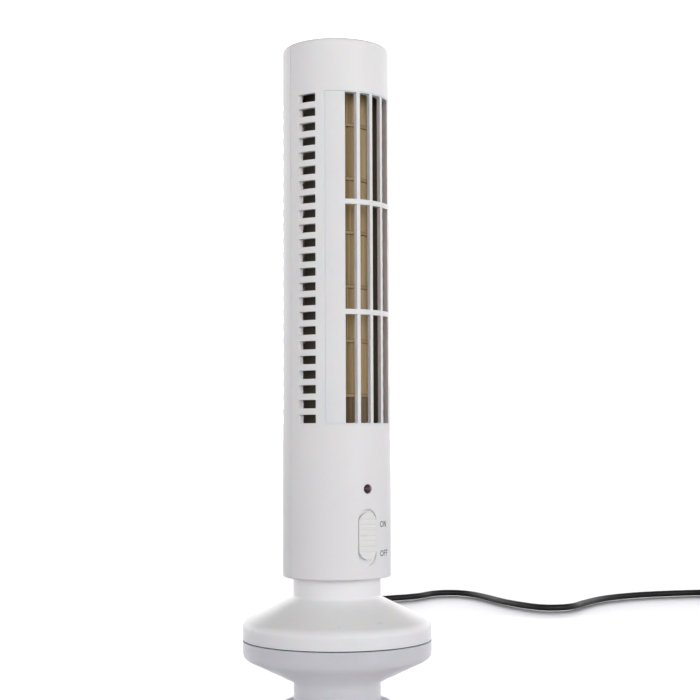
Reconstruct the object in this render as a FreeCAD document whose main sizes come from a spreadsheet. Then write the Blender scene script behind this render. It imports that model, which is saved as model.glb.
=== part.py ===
import FreeCAD, Part
import math
import os

import Sketcher

# A small USB tower fan: a cylindrical tower of two shells on a weighted round base.
# The frame has +Z up, the front of the fan facing -Y and the origin on the table,
# under the centre of the base. All lengths are in millimetres.

DIMENSIONS = (
    # shared fits: a press fit, a sliding fit, and how far cutters run past a face
    ("press_gap", 0.05),
    ("slide_gap", 0.1),
    ("overrun", 1.0),
    # tower
    ("total_height", 330.0),
    ("body_radius", 30.0),
    ("body_wall", 2.5),
    ("body_bottom", 34.3),
    ("body_floor", 2.6),
    ("body_top_fillet", 2.5),
    ("body_foot_fillet", 1.0),
    ("seam_width", 0.3),
    ("seam_depth", 0.45),
    ("plate_radius", 27.3),
    ("rib_depth", 1.6),
    ("rib_height", 1.0),
    ("rib_gap", 0.2),
    # louvres: side windows and rear intake share their heights
    ("louvre_bottom", 118.7),
    ("louvre_pitch", 8.0),
    ("louvre_height", 4.6),
    ("louvre_rows", 23),
    ("window_front", 16.8),
    ("window_back", 6.9),
    ("intake_half_width", 27.2),
    ("intake_rib", 2.4),
    ("intake_start", 3.0),
    # front grille
    ("grille_half_width", 21.3),
    ("grille_bottom", 118.1),
    ("grille_top", 300.2),
    ("grille_gap", 0.06),
    ("grille_face_radius", 29.85),
    ("grille_bar_back", 27.1),
    ("grille_back_radius", 26.3),
    ("grille_flange", 2.9),
    ("grille_bevel_edge", 22.5),
    ("grille_relief_border", 1.1),
    ("flange_rear", 17.2),
    ("opening_depth", 14.0),
    ("slot_width", 6.4),
    ("slot_pitch", 8.3),
    ("slot_columns", 4),
    ("slot_cut_start", 8.0),
    ("slot_first_left", -12.25),
    ("slot_border", 0.6),
    ("cross_bar_low", 179.1),
    ("cross_bar_high", 239.3),
    ("cross_bar_height", 2.8),
    # body screws: x and z of the lower and upper pairs
    ("boss_low_x", 20.0),
    ("boss_low_z", 44.0),
    ("boss_high_x", 12.0),
    ("boss_high_z", 323.4),
    ("boss_radius", 2.8),
    ("rear_boss_radius", 3.9),
    ("boss_limit_radius", 28.75),
    ("body_screw_seat", 6.0),
    ("body_screw_depth", 9.0),
    ("screw_radius", 1.02),
    ("screw_pilot_radius", 1.05),
    ("screw_clear_radius", 1.3),
    ("screw_head_radius", 2.3),
    ("screw_head_height", 1.7),
    ("screw_drive_half_length", 1.3),
    ("screw_drive_half_width", 0.3),
    ("screw_drive_depth", 0.9),
    ("screw_drive_run", 4.0),
    ("screw_well_radius", 2.7),
    # switch
    ("recess_width", 11.8),
    ("recess_height", 30.6),
    ("recess_centre", 57.0),
    ("recess_floor", 28.4),
    ("pad_half_width", 8.5),
    ("pad_back", 25.2),
    ("pad_front", 28.5),
    ("pad_top", 78.5),
    ("knob_width", 11.3),
    ("knob_height", 25.2),
    ("knob_centre", 57.8),
    ("knob_back", 28.5),
    ("knob_face_radius", 30.5),
    ("knob_groove", 1.0),
    ("knob_groove_depth", 0.6),
    ("knob_groove_half_width", 6.2),
    ("knob_groove_pitch", 2.9),
    ("knob_grooves", 7),
    ("lever_half_width", 1.5),
    ("lever_half_height", 2.0),
    ("lever_front", 28.95),
    ("lever_back", 21.2),
    ("switch_travel", 3.2),
    ("lever_clearance", 0.4),
    ("mouth_clearance", 0.3),
    ("mouth_side_clearance", 0.2),
    ("lever_slot_back", 20.0),
    ("switch_half_width", 5.0),
    ("switch_bottom", 45.8),
    ("switch_top", 68.6),
    ("switch_back", 18.6),
    ("switch_front", 25.1),
    ("ear_thickness", 1.0),
    ("ear_screw_low", 39.6),
    ("ear_screw_high", 75.0),
    ("ear_half_width", 3.2),
    ("ear_bottom", 37.2),
    ("ear_top", 78.0),
    ("ear_pilot_end", 28.2),
    ("ear_screw_tip", 28.0),
    ("switch_pin_half", 0.3),
    ("switch_pin_half_width", 0.6),
    ("switch_pin_length", 4.0),
    ("switch_pin_middle", 57.2),
    ("switch_pin_pitch", 5.0),
    # lamp
    ("lamp_height", 83.1),
    ("lamp_radius", 2.5),
    ("lamp_dome", 28.6),
    ("lamp_flange", 22.9),
    ("lamp_tube_radius", 4.2),
    ("lamp_back", 21.9),
    ("board_front", 16.4),
    ("board_thickness", 1.2),
    ("board_half", 6.0),
    ("lamp_flange_width", 0.4),
    ("lead_offset", 1.27),
    ("lead_half", 0.25),
    ("lamp_hole_back", 20.0),
    # air guides
    ("guide_gap", 1.0),
    ("guide_wall", 1.3),
    ("guide_front", 15.0),
    ("guide_reach", 26.0),
    # impeller
    ("impeller_radius", 18.85),
    ("impeller_bottom", 103.0),
    ("section_height", 30.0),
    ("section_count", 7),
    ("disc_thickness", 1.8),
    ("disc_hole_radius", 12.6),
    ("blade_count", 30),
    ("blade_inner", 14.2),
    ("blade_outer", 18.7),
    ("blade_lean", 18.0),
    ("blade_root_angle", 3.0),
    ("blade_tip_angle", 1.6),
    ("blade_curve", 9.0),
    ("blade_root_depth", 0.2),
    ("section_turn", 3.0),
    ("end_disc_thickness", 1.2),
    ("hub_radius", 6.2),
    ("hub_bottom", 99.0),
    ("hub_root", 0.5),
    ("coupling_radius", 4.4),
    ("coupling_bottom", 97.0),
    ("shaft_radius", 1.0),
    ("bearing_radius", 1.05),
    ("shaft_bottom", 59.5),
    ("shaft_top", 102.0),
    ("pin_bottom", 310.0),
    ("pin_top", 321.5),
    # top bearing
    ("top_plate_bottom", 317.0),
    ("top_plate_thickness", 2.2),
    ("top_boss_radius", 5.0),
    ("top_boss_top", 322.5),
    ("bush_radius", 3.0),
    # motor
    ("motor_radius", 12.1),
    ("motor_bottom", 62.5),
    ("motor_top", 93.0),
    ("motor_wall", 1.0),
    ("motor_nose_radius", 3.0),
    ("motor_nose_height", 1.2),
    ("magnet_inner", 8.6),
    ("magnet_bottom", 66.0),
    ("magnet_top", 88.0),
    ("armature_radius", 8.2),
    ("commutator_radius", 3.0),
    ("cap_bottom", 60.5),
    ("cap_plug", 1.4),
    ("bracket_thickness", 2.6),
    ("bracket_skirt_inner", 12.9),
    ("bracket_skirt_outer", 14.7),
    ("bracket_skirt_bottom", 80.0),
    ("motor_screw_offset", 8.0),
    ("motor_screw_head_radius", 1.8),
    ("motor_screw_head_height", 1.2),
    ("motor_screw_reach", 1.8),
    ("can_hole_reach", 3.0),
    ("can_fillet", 0.8),
    ("nose_clearance", 0.3),
    ("magnet_gap_half", 4.0),
    ("commutator_rise", 2.0),
    ("cap_bore_reach", 4.0),
    ("tab_offset", 7.0),
    ("tab_half_thickness", 0.2),
    ("tab_half_width", 1.1),
    ("tab_length", 5.0),
    ("sleeve_inset", 0.5),
    # base
    ("base_radius", 52.3),
    ("base_lift", 0.2),
    ("rim_corner_height", 9.45),
    ("rim_fillet", 5.0),
    ("neck_radius", 24.2),
    ("neck_foot_height", 23.1),
    ("neck_fillet", 2.0),
    ("neck_top", 34.1),
    ("base_wall", 2.4),
    ("cone_drop", 1.5),
    ("collar_radius", 19.9),
    ("collar_bore", 17.5),
    ("collar_top", 37.1),
    ("collar_lip_radius", 21.6),
    ("collar_lip_top", 38.9),
    ("base_plate_bottom", 0.8),
    ("base_plate_top", 2.6),
    ("base_plate_radius", 49.7),
    ("base_boss_circle", 46.0),
    ("base_boss_radius", 2.6),
    ("base_boss_top", 10.6),
    ("base_screw_top", 8.0),
    ("base_pilot_rest", 0.5),
    ("base_well_depth", 1.0),
    ("base_head_inset", 0.1),
    ("neck_edge_fillet", 0.3),
    ("foot_radius", 5.0),
    ("foot_height", 1.3),
    ("foot_circle", 36.0),
    ("notch_half_width", 4.2),
    ("notch_start", 46.0),
    ("notch_end", 52.0),
    ("notch_height", 4.0),
    ("weight_inner", 20.0),
    ("weight_outer", 38.0),
    ("weight_bottom", 2.7),
    ("weight_top", 6.2),
    ("weight_notch_half_width", 3.4),
    ("weight_notch_start", 10.0),
    ("weight_notch_height", 12.0),
    # cord
    ("cord_radius", 2.0),
    ("cord_exit_height", 4.7),
    ("gland_end", 64.0),
    ("gland_radius", 2.6),
    ("gland_flange", 3.5),
    ("gland_inset", 4.6),
    ("gland_shoulder", 1.2),
    ("gland_step", 0.2),
    ("gland_taper_step", 0.4),
    ("cord_hole_start", 44.0),
    ("coil_mean_radius", 22.0),
    ("wire_radius", 0.6),
    # plug
    ("grip_length", 24.0),
    ("grip_width", 15.6),
    ("grip_height", 8.0),
    ("grip_fillet", 1.6),
    ("plug_length", 18.8),
    ("plug_width", 12.0),
    ("plug_height", 4.5),
    ("plug_wall", 0.3),
    ("tongue_height", 1.8),
    ("tongue_offset", 0.9),
    ("tongue_inset", 0.6),
    ("tongue_clearance", 0.2),
)

# Centre line of the cord where it isn't coiled, from the gland to the coil.
CORD_ROUTE = (
    (0.0, 64.0, 4.7),
    (2.0, 75.0, 4.4),
    (12.0, 88.0, 2.5),
    (31.0, 98.5, 2.05),
    (60.0, 108.0, 2.05),
    (92.0, 122.0, 2.05),
    (123.0, 128.0, 2.05),
    (149.0, 124.0, 2.05),
    (175.0, 136.0, 2.05),
    (191.0, 124.0, 2.05),
    (186.0, 95.0, 2.05),
    (177.0, 66.0, 2.05),
    (174.0, 43.0, 2.05),
    (175.0, 24.0, 2.05),
    (192.0, 17.0, 2.05),
    (214.0, 29.0, 2.05),
    (245.0, 42.0, 2.05),
    (281.0, 43.0, 2.05),
    (319.0, 30.5, 2.05),
    (350.4, 10.4, 2.05),
)
# The tongue wall in plan: radius and angle of its corners.
TONGUE_CORNERS = (
    ("dims.guide_reach", "50.3"),
    ("dims.guide_reach", "54.5"),
    ("dims.impeller_radius + dims.guide_gap + 1.3", "57.7"),
    ("dims.impeller_radius + dims.guide_gap - 0.1", "58.4"),
)

COIL_CENTRE = (338.0, -8.0)
COIL_TURNS_HIGH = 2
COIL_TURNS_WIDE = 2
TAIL_START = (342.2, -31.6, 6.0)
TAIL_END = (317.6, -36.0, 4.0)

INNER_CABLE_ROUTE = (
    (0.0, 47.5, 4.7),
    (0.0, 22.0, 4.7),
    (0.0, 8.0, 18.0),
    (0.0, 6.0, 46.0),
)
SWITCH_WIRE_ROUTE = (
    (-1.3, 6.0, 46.4),
    (-1.8, 5.0, 51.0),
    (-2.4, -8.0, 55.0),
    (0.0, -14.3, 57.2),
)
MOTOR_WIRE_ROUTE = (
    (1.3, 6.0, 46.4),
    (2.4, 5.0, 50.5),
    (6.0, 2.0, 52.5),
    (7.0, 0.0, 55.0),
)

NODE_NAMES = []
SHEET_NAME = "dims"


def make_sheet(doc):
    """The driving dimensions, one row each: name in A, value in B with that alias."""
    sheet = doc.addObject("Spreadsheet::Sheet", SHEET_NAME)
    for row, (alias, value) in enumerate(DIMENSIONS, start=1):
        sheet.set(f"A{row}", alias)
        sheet.set(f"B{row}", str(value))
        sheet.setAlias(f"B{row}", alias)
    doc.recompute()
    return sheet


def value_of(doc, expression):
    """The number that an expression on the sheet has now."""
    result = doc.getObject(SHEET_NAME).evalExpression(str(expression))
    return float(getattr(result, "Value", result))


def bind(feature, **expressions):
    """Bind properties of a feature to expressions on the sheet."""
    for name, expression in expressions.items():
        feature.setExpression(name, str(expression))


def place(feature, x=0, y=0, z=0):
    """Bind the position of a feature to expressions on the sheet."""
    for axis, expression in (("x", x), ("y", y), ("z", z)):
        if str(expression) != "0":
            feature.setExpression(f"Placement.Base.{axis}", str(expression))


def name_node(feature, label):
    """Mark a finished sub-part: its label names its file."""
    feature.Label = label
    NODE_NAMES.append(feature.Name)
    return feature


# ---- primitives and booleans ----

def cylinder(doc, name, radius, z0, z1, x=0, y=0):
    """A cylinder along Z from z0 to z1."""
    solid = doc.addObject("Part::Cylinder", name)
    bind(solid, Radius=radius, Height=f"({z1}) - ({z0})")
    place(solid, x, y, z0)
    return solid


def cylinder_y(doc, name, radius, y0, y1, x=0, z=0):
    """A cylinder along Y from y0 to y1."""
    solid = doc.addObject("Part::Cylinder", name)
    solid.Placement = FreeCAD.Placement(
        FreeCAD.Vector(), FreeCAD.Rotation(FreeCAD.Vector(1, 0, 0), -90))
    bind(solid, Radius=radius, Height=f"({y1}) - ({y0})")
    place(solid, x, y0, z)
    return solid


def cone_y(doc, name, radius0, radius1, y0, y1, x=0, z=0):
    """A cone along Y whose radius goes from radius0 at y0 to radius1 at y1."""
    solid = doc.addObject("Part::Cone", name)
    solid.Placement = FreeCAD.Placement(
        FreeCAD.Vector(), FreeCAD.Rotation(FreeCAD.Vector(1, 0, 0), -90))
    bind(solid, Radius1=radius0, Radius2=radius1, Height=f"({y1}) - ({y0})")
    place(solid, x, y0, z)
    return solid


def box(doc, name, x_span, y_span, z_span):
    """A box between two corners, each span a pair of expressions."""
    solid = doc.addObject("Part::Box", name)
    bind(
        solid,
        Length=f"({x_span[1]}) - ({x_span[0]})",
        Width=f"({y_span[1]}) - ({y_span[0]})",
        Height=f"({z_span[1]}) - ({z_span[0]})",
    )
    place(solid, x_span[0], y_span[0], z_span[0])
    return solid


def centred(half):
    """A span that is centred on zero."""
    return (f"-({half})", f"{half}")


def fuse(doc, name, solids):
    """One shape from several solids."""
    joined = doc.addObject("Part::MultiFuse", name)
    joined.Shapes = list(solids)
    joined.Refine = True
    return joined


def common(doc, name, solids):
    """The space that all the solids share."""
    shared = doc.addObject("Part::MultiCommon", name)
    shared.Shapes = list(solids)
    return shared


def cut(doc, name, base, tools):
    """The base with the tools taken out of it."""
    tool = tools[0] if len(tools) == 1 else fuse(doc, name + "_tools", tools)
    result = doc.addObject("Part::Cut", name)
    result.Base = base
    result.Tool = tool
    return result


def tube(doc, name, outer, inner, z0, z1, x=0, y=0):
    """A hollow cylinder along Z."""
    outside = cylinder(doc, name + "_outside", outer, z0, z1, x, y)
    bore = cylinder(doc, name + "_bore", inner, z0, z1, x, y)
    return cut(doc, name, outside, [bore])


def stadium(doc, name, width, height, centre, y0, y1):
    """A round-ended upright bar along Y, centred on x = 0 and z = centre."""
    straight = f"(({height}) - ({width})) / 2"
    block = box(
        doc, name + "_block", centred(f"({width}) / 2"), (y0, y1),
        (f"({centre}) - {straight}", f"({centre}) + {straight}"))
    ends = [
        cylinder_y(doc, name + end, f"({width}) / 2", y0, y1, 0, f"({centre}) {sign} {straight}")
        for end, sign in (("_upper", "+"), ("_lower", "-"))
    ]
    return fuse(doc, name, [block] + ends)


def corners(circle):
    """Places of four pieces spread evenly on a circle, clear of the axes."""
    offset = f"({circle}) * 0.70711"
    return [(sx + offset, sy + offset) for sx in ("", "-") for sy in ("", "-")]


# ---- bodies made from sketches ----

def origin_item(body, role):
    """A plane or axis of a body's own origin."""
    for item in body.Origin.OriginFeatures:
        if item.Role == role:
            return item
    raise ValueError(role)


def draw_outline(doc, sketch, vertices, arcs=None):
    """A closed outline of lines through vertices given as expression pairs.

    arcs maps the number of an edge to the expression of its radius; such an edge
    bulges to the right of its direction.
    """
    arcs = arcs or {}
    points = [FreeCAD.Vector(value_of(doc, x), value_of(doc, y), 0) for x, y in vertices]
    first = sketch.GeometryCount
    count = len(points)
    for number, start in enumerate(points):
        end = points[(number + 1) % count]
        if number in arcs:
            sketch.addGeometry(arc_between(start, end, value_of(doc, arcs[number])), False)
        else:
            sketch.addGeometry(Part.LineSegment(start, end), False)
    ends = [edge_ends(sketch.Geometry[first + number], points[number]) for number in range(count)]
    for number in range(count):
        following = (number + 1) % count
        sketch.addConstraint(Sketcher.Constraint(
            "Coincident", first + number, ends[number][1], first + following, ends[following][0]))
    for number, (x, y) in enumerate(vertices):
        fix_vertex(sketch, first + number, ends[number][0], points[number], x, y)
    for number, radius in arcs.items():
        index = sketch.addConstraint(
            Sketcher.Constraint("Radius", first + number, value_of(doc, radius)))
        sketch.setExpression(f"Constraints[{index}]", str(radius))


def arc_between(start, end, radius):
    """A minor arc from start to end, bulging to the right of that direction."""
    chord = end - start
    side = FreeCAD.Vector(chord.y, -chord.x, 0).normalize()
    rise = radius - math.sqrt(radius ** 2 - (chord.Length / 2) ** 2)
    return Part.Arc(start, start + chord * 0.5 + side * rise, end)


def edge_ends(edge, start):
    """Which end of a sketch edge is its start: 1 or 2, and the other."""
    return (1, 2) if edge.StartPoint.distanceToPoint(start) < 1e-6 else (2, 1)


def fix_vertex(sketch, edge, end, point, x, y):
    """Hold a vertex at a place that the sheet gives."""
    for kind, expression, value, axis in (
            ("DistanceX", x, point.x, -2), ("DistanceY", y, point.y, -1)):
        if abs(value) < 1e-9:
            sketch.addConstraint(Sketcher.Constraint("PointOnObject", edge, end, axis))
            continue
        index = sketch.addConstraint(Sketcher.Constraint(kind, -1, 1, edge, end, value))
        sketch.setExpression(f"Constraints[{index}]", str(expression))


def new_sketch(body, name, plane, offset=None):
    """A sketch on one of the body's own planes, at an offset along its normal."""
    sketch = body.newObject("Sketcher::SketchObject", name)
    sketch.AttachmentSupport = [(origin_item(body, plane), "")]
    sketch.MapMode = "FlatFace"
    if offset is not None:
        sketch.setExpression("AttachmentOffset.Base.z", str(offset))
    return sketch


def rectangle(x_span, y_span):
    """Vertices of a rectangle."""
    return [
        (x_span[0], y_span[0]), (x_span[1], y_span[0]),
        (x_span[1], y_span[1]), (x_span[0], y_span[1]),
    ]


def revolved_body(doc, name, vertices):
    """A body turned about Z from its half section, in r and z."""
    body = doc.addObject("PartDesign::Body", name)
    sketch = new_sketch(body, name + "_section", "XZ_Plane")
    draw_outline(doc, sketch, vertices)
    turned = body.newObject("PartDesign::Revolution", name + "_turned")
    turned.Profile = sketch
    turned.ReferenceAxis = (sketch, ["V_Axis"])
    turned.Angle = 360
    body.Tip = turned
    doc.recompute()
    return body


def round_circle(doc, body, name, radius, height, fillet):
    """Fillet the circular edge of a turned body at a given radius and height."""
    base = body.Tip
    wanted_radius = value_of(doc, radius)
    wanted_height = value_of(doc, height)
    names = [
        f"Edge{number}"
        for number, edge in enumerate(base.Shape.Edges, start=1)
        if hasattr(edge.Curve, "Radius")
        and abs(edge.Curve.Radius - wanted_radius) < 1e-4
        and abs(edge.CenterOfMass.z - wanted_height) < 1e-4
    ]
    feature = body.newObject("PartDesign::Fillet", name)
    feature.Base = (base, names)
    bind(feature, Radius=fillet)
    body.Tip = feature
    doc.recompute()


def padded_body(doc, name, plane, outlines, length, patterns=(), midplane=False, reverse=False,
                offset=None):
    """A body of outlines padded along the plane's normal, then repeated."""
    body = doc.addObject("PartDesign::Body", name)
    sketch = new_sketch(body, name + "_outline", plane, offset)
    for vertices in outlines:
        draw_outline(doc, sketch, vertices)
    pad = body.newObject("PartDesign::Pad", name + "_pad")
    pad.Profile = sketch
    pad.AllowMultiFace = True
    pad.SideType = "Symmetric" if midplane else "One side"
    pad.Reversed = reverse
    bind(pad, Length=length)
    body.Tip = pad
    doc.recompute()
    for number, (axis, pitch, count) in enumerate(patterns):
        pattern = body.newObject("PartDesign::LinearPattern", f"{name}_row{number}")
        pattern.Originals = [pad]
        pattern.Direction = (origin_item(body, axis), [""])
        bind(pattern, Length=f"({pitch}) * (({count}) - 1)", Occurrences=count)
        body.Tip = pattern
        doc.recompute()
    return body


# ---- the two shells of the tower ----

def tower_blank(doc):
    """The whole tower skin: a closed tube with ribs that hold its two inner plates."""
    inner = "dims.body_radius - dims.body_wall"
    rib = f"{inner} - dims.rib_depth"
    vertices = [
        ("dims.body_radius", "dims.body_bottom"),
        ("dims.body_radius", "dims.total_height"),
        ("0", "dims.total_height"),
        ("0", "dims.total_height - dims.body_wall"),
        (inner, "dims.total_height - dims.body_wall"),
    ]
    plates = (
        ("dims.top_plate_bottom", "dims.top_plate_thickness"),
        ("dims.motor_top", "dims.bracket_thickness"),
    )
    for bottom, thickness in plates:
        above = f"{bottom} + {thickness} + dims.rib_gap"
        below = f"{bottom} - dims.rib_gap"
        for low in (above, f"{below} - dims.rib_height"):
            vertices += [
                (inner, f"{low} + dims.rib_height"), (rib, f"{low} + dims.rib_height"),
                (rib, low), (inner, low),
            ]
    vertices += [
        (inner, "dims.body_bottom + dims.body_floor"),
        ("dims.collar_radius + dims.rib_gap", "dims.body_bottom + dims.body_floor"),
        ("dims.collar_radius + dims.rib_gap", "dims.body_bottom"),
    ]
    blank = revolved_body(doc, "tower_blank", vertices)
    round_circle(doc, blank, "tower_top_round", "dims.body_radius", "dims.total_height",
                 "dims.body_top_fillet")
    round_circle(doc, blank, "tower_foot_round", "dims.body_radius", "dims.body_bottom",
                 "dims.body_foot_fillet")
    return blank


def seam_groove(doc):
    """The fine groove between the shells: a thin slice outside the skin's inner layers."""
    core = revolved_body(doc, "seam_core", [
        ("dims.body_radius - dims.seam_depth", "dims.body_bottom + dims.seam_depth"),
        ("dims.body_radius - dims.seam_depth", "dims.total_height - dims.seam_depth"),
        ("0", "dims.total_height - dims.seam_depth"),
        ("0", "dims.body_bottom + dims.seam_depth"),
    ])
    round_circle(doc, core, "seam_top_round", "dims.body_radius - dims.seam_depth",
                 "dims.total_height - dims.seam_depth", "dims.body_top_fillet - dims.seam_depth")
    slice_box = box(
        doc, "seam_slice", centred("dims.body_radius + dims.overrun"), centred("dims.seam_width / 2"),
        ("dims.body_bottom - dims.overrun", "dims.total_height + dims.overrun"))
    return cut(doc, "seam_groove", slice_box, [core])


def boss_places():
    """x and z of the four body screws, with a word for each."""
    low = ("dims.boss_low_x", "dims.boss_low_z")
    high = ("dims.boss_high_x", "dims.boss_high_z")
    for word, (x, z) in (("low", low), ("high", high)):
        yield word + "_right", x, z
        yield word + "_left", f"-{x}", z


def row_of_bosses(doc, name, radius, y0, y1):
    """Screw bosses along Y, kept inside the skin."""
    bosses = [
        cylinder_y(doc, f"{name}_{word}", radius, y0, y1, x, z) for word, x, z in boss_places()
    ]
    limit = cylinder(doc, name + "_limit", "dims.boss_limit_radius", "dims.body_bottom + dims.overrun",
                     "dims.total_height - dims.overrun")
    return common(doc, name, [fuse(doc, name + "_all", bosses), limit])


def window_cutter(doc):
    """The column of side windows, cut straight across the tower."""
    outline = rectangle(
        ("-dims.window_front", "-dims.window_back"),
        ("dims.louvre_bottom", "dims.louvre_bottom + dims.louvre_height"))
    return padded_body(
        doc, "window_cutter", "YZ_Plane", [outline],
        "2 * (dims.body_radius + dims.overrun)",
        patterns=[("Z_Axis", "dims.louvre_pitch", "dims.louvre_rows")], midplane=True)


def intake_cutter(doc):
    """The rear intake: four slots side by side in each louvre row, parted by ribs."""
    width = "(dims.intake_half_width / 2 - dims.intake_rib * 0.75)"
    outlines = []
    for side in ("", "-"):
        for start in ("dims.intake_rib / 2", f"dims.intake_rib * 1.5 + {width}"):
            near = f"{side}({start})"
            far = f"{side}({start} + {width})"
            span = (near, far) if side == "" else (far, near)
            outlines.append(rectangle(
                span, ("dims.louvre_bottom", "dims.louvre_bottom + dims.louvre_height")))
    return padded_body(
        doc, "intake_cutter", "XZ_Plane", outlines, "dims.body_radius",
        patterns=[("Z_Axis", "dims.louvre_pitch", "dims.louvre_rows")], reverse=True,
        offset="-dims.intake_start")


def front_shell(doc, blank, groove):
    """The front half: grille opening, side windows, lamp hole and switch recess."""
    half = common(doc, "front_half", [blank, box(
        doc, "front_side", centred("dims.body_radius + dims.overrun"),
        ("-dims.body_radius - dims.overrun", "0"),
        ("0", "dims.total_height + dims.overrun"))])
    bosses = row_of_bosses(doc, "front_bosses", "dims.boss_radius", "-dims.body_radius",
                            "-dims.slide_gap")
    pad = box(
        doc, "switch_pad", centred("dims.pad_half_width"), ("-dims.pad_front", "-dims.pad_back"),
        ("dims.body_bottom + dims.overrun", "dims.pad_top"))
    lamp_tube = cylinder_y(doc, "lamp_tube", "dims.lamp_tube_radius", "-dims.pad_front",
                           "-dims.lamp_flange - 2 * dims.slide_gap", 0, "dims.lamp_height")
    solid = fuse(doc, "front_solid", [half, bosses, pad, lamp_tube])
    opening = box(
        doc, "grille_opening", centred("dims.grille_half_width"),
        ("-dims.body_radius - dims.overrun", "-dims.opening_depth"),
        ("dims.grille_bottom", "dims.grille_top"))
    lamp_hole = cylinder_y(doc, "lamp_hole", "dims.lamp_radius + dims.slide_gap",
                           "-dims.body_radius - dims.overrun", "-dims.lamp_hole_back", 0,
                           "dims.lamp_height")
    recess = stadium(doc, "switch_recess", "dims.recess_width", "dims.recess_height",
                     "dims.recess_centre", "-dims.body_radius - dims.overrun", "-dims.recess_floor")
    lever_slot = box(
        doc, "lever_slot", centred("dims.lever_half_width + dims.lever_clearance"),
        ("-dims.body_radius", "-dims.lever_slot_back"),
        ("dims.knob_centre - dims.switch_travel - dims.lever_half_height - dims.lever_clearance",
         "dims.knob_centre + dims.lever_half_height + dims.lever_clearance"))
    pilots = [
        cylinder_y(doc, f"front_pilot_{word}", "dims.screw_pilot_radius",
                   "-dims.body_screw_depth - dims.overrun", "dims.overrun", x, z)
        for word, x, z in boss_places()
    ]
    ear_pilots = [
        cylinder_y(doc, f"ear_pilot_{word}", "dims.screw_pilot_radius", "-dims.ear_pilot_end",
                   "-dims.lever_slot_back", 0, z)
        for word, z in (("low", "dims.ear_screw_low"), ("high", "dims.ear_screw_high"))
    ]
    shell = cut(
        doc, "front_open", solid,
        [groove, opening, side_bevels(doc), window_cutter(doc), lamp_hole, recess, lever_slot]
        + pilots + ear_pilots)
    return name_node(shell, "front_shell")


def side_bevels(doc):
    """Wedges that slope the upright edges of the grille opening down to the panel's face."""
    wall = "dims.grille_half_width"
    edge = "dims.grille_bevel_edge"
    foot = f"-sqrt(dims.grille_face_radius * dims.grille_face_radius - {wall} * {wall})"
    crest = f"-sqrt(dims.body_radius * dims.body_radius - {edge} * {edge})"
    above = "-dims.body_radius + dims.opening_depth / 2"
    clear = f"({wall} - dims.overrun)"
    outlines = [
        [
            (sign + clear, foot), (sign + wall, foot), (sign + edge, crest),
            (sign + edge, above), (sign + clear, above),
        ]
        for sign in ("", "-")
    ]
    return padded_body(doc, "side_bevels", "XY_Plane", outlines,
                       "dims.grille_top - dims.grille_bottom", offset="dims.grille_bottom")


def rear_shell(doc, blank, groove):
    """The rear half: intake slots and the screw wells."""
    half = common(doc, "rear_half", [blank, box(
        doc, "rear_side", centred("dims.body_radius + dims.overrun"),
        ("0", "dims.body_radius + dims.overrun"),
        ("0", "dims.total_height + dims.overrun"))])
    bosses = row_of_bosses(doc, "rear_bosses", "dims.rear_boss_radius", "dims.slide_gap",
                           "dims.body_radius")
    solid = fuse(doc, "rear_solid", [half, bosses])
    holes = []
    for word, x, z in boss_places():
        holes.append(cylinder_y(doc, f"rear_hole_{word}", "dims.screw_clear_radius", "-dims.overrun",
                                "dims.body_radius", x, z))
        holes.append(cylinder_y(doc, f"rear_well_{word}", "dims.screw_well_radius",
                                "dims.body_screw_seat", "dims.body_radius + dims.overrun", x, z))
    shell = cut(doc, "rear_open", solid, [groove, intake_cutter(doc)] + holes)
    return name_node(shell, "rear_shell")


def screw_y(doc, name, x, z, seat, tip):
    """A pan-head screw driven towards -Y: its head sits on y = seat."""
    head = cylinder_y(doc, name + "_head", "dims.screw_head_radius", seat,
                      f"{seat} + dims.screw_head_height", x, z)
    shank = cylinder_y(doc, name + "_shank", "dims.screw_radius", tip, seat, x, z)
    length = "dims.screw_drive_half_length"
    width = "dims.screw_drive_half_width"
    depth = (f"{seat} + dims.screw_head_height - dims.screw_drive_depth",
             f"{seat} + dims.screw_drive_run")
    drive_a = box(doc, name + "_drive_a", (f"({x}) - {length}", f"({x}) + {length}"), depth,
                  (f"({z}) - {width}", f"({z}) + {width}"))
    drive_b = box(doc, name + "_drive_b", (f"({x}) - {width}", f"({x}) + {width}"), depth,
                  (f"({z}) - {length}", f"({z}) + {length}"))
    return cut(doc, name, fuse(doc, name + "_blank", [head, shank]), [drive_a, drive_b])


def body_screws(doc):
    """Four screws that hold the rear shell to the front shell."""
    screws = [
        screw_y(doc, f"body_screw_{word}", x, z, "dims.body_screw_seat",
                "-dims.body_screw_depth")
        for word, x, z in boss_places()
    ]
    return name_node(fuse(doc, "body_screw_set", screws), "body_screws")


# ---- the front grille ----

def slot_cutter(doc):
    """Upright slots in three rows, parted by two cross bars."""
    levels = ["dims.grille_bottom + dims.slot_border"]
    for bar in ("dims.cross_bar_low", "dims.cross_bar_high"):
        levels += [f"{bar} - dims.cross_bar_height / 2", f"{bar} + dims.cross_bar_height / 2"]
    levels.append("dims.grille_top - dims.slot_border")
    columns = ("dims.slot_first_left", "dims.slot_first_left + dims.slot_width")
    outlines = [rectangle(columns, levels[row:row + 2]) for row in (0, 2, 4)]
    return padded_body(
        doc, "slot_cutter", "XZ_Plane", outlines, "dims.body_radius",
        patterns=[("X_Axis", "dims.slot_pitch", "dims.slot_columns")],
        offset="dims.slot_cut_start")


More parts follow.
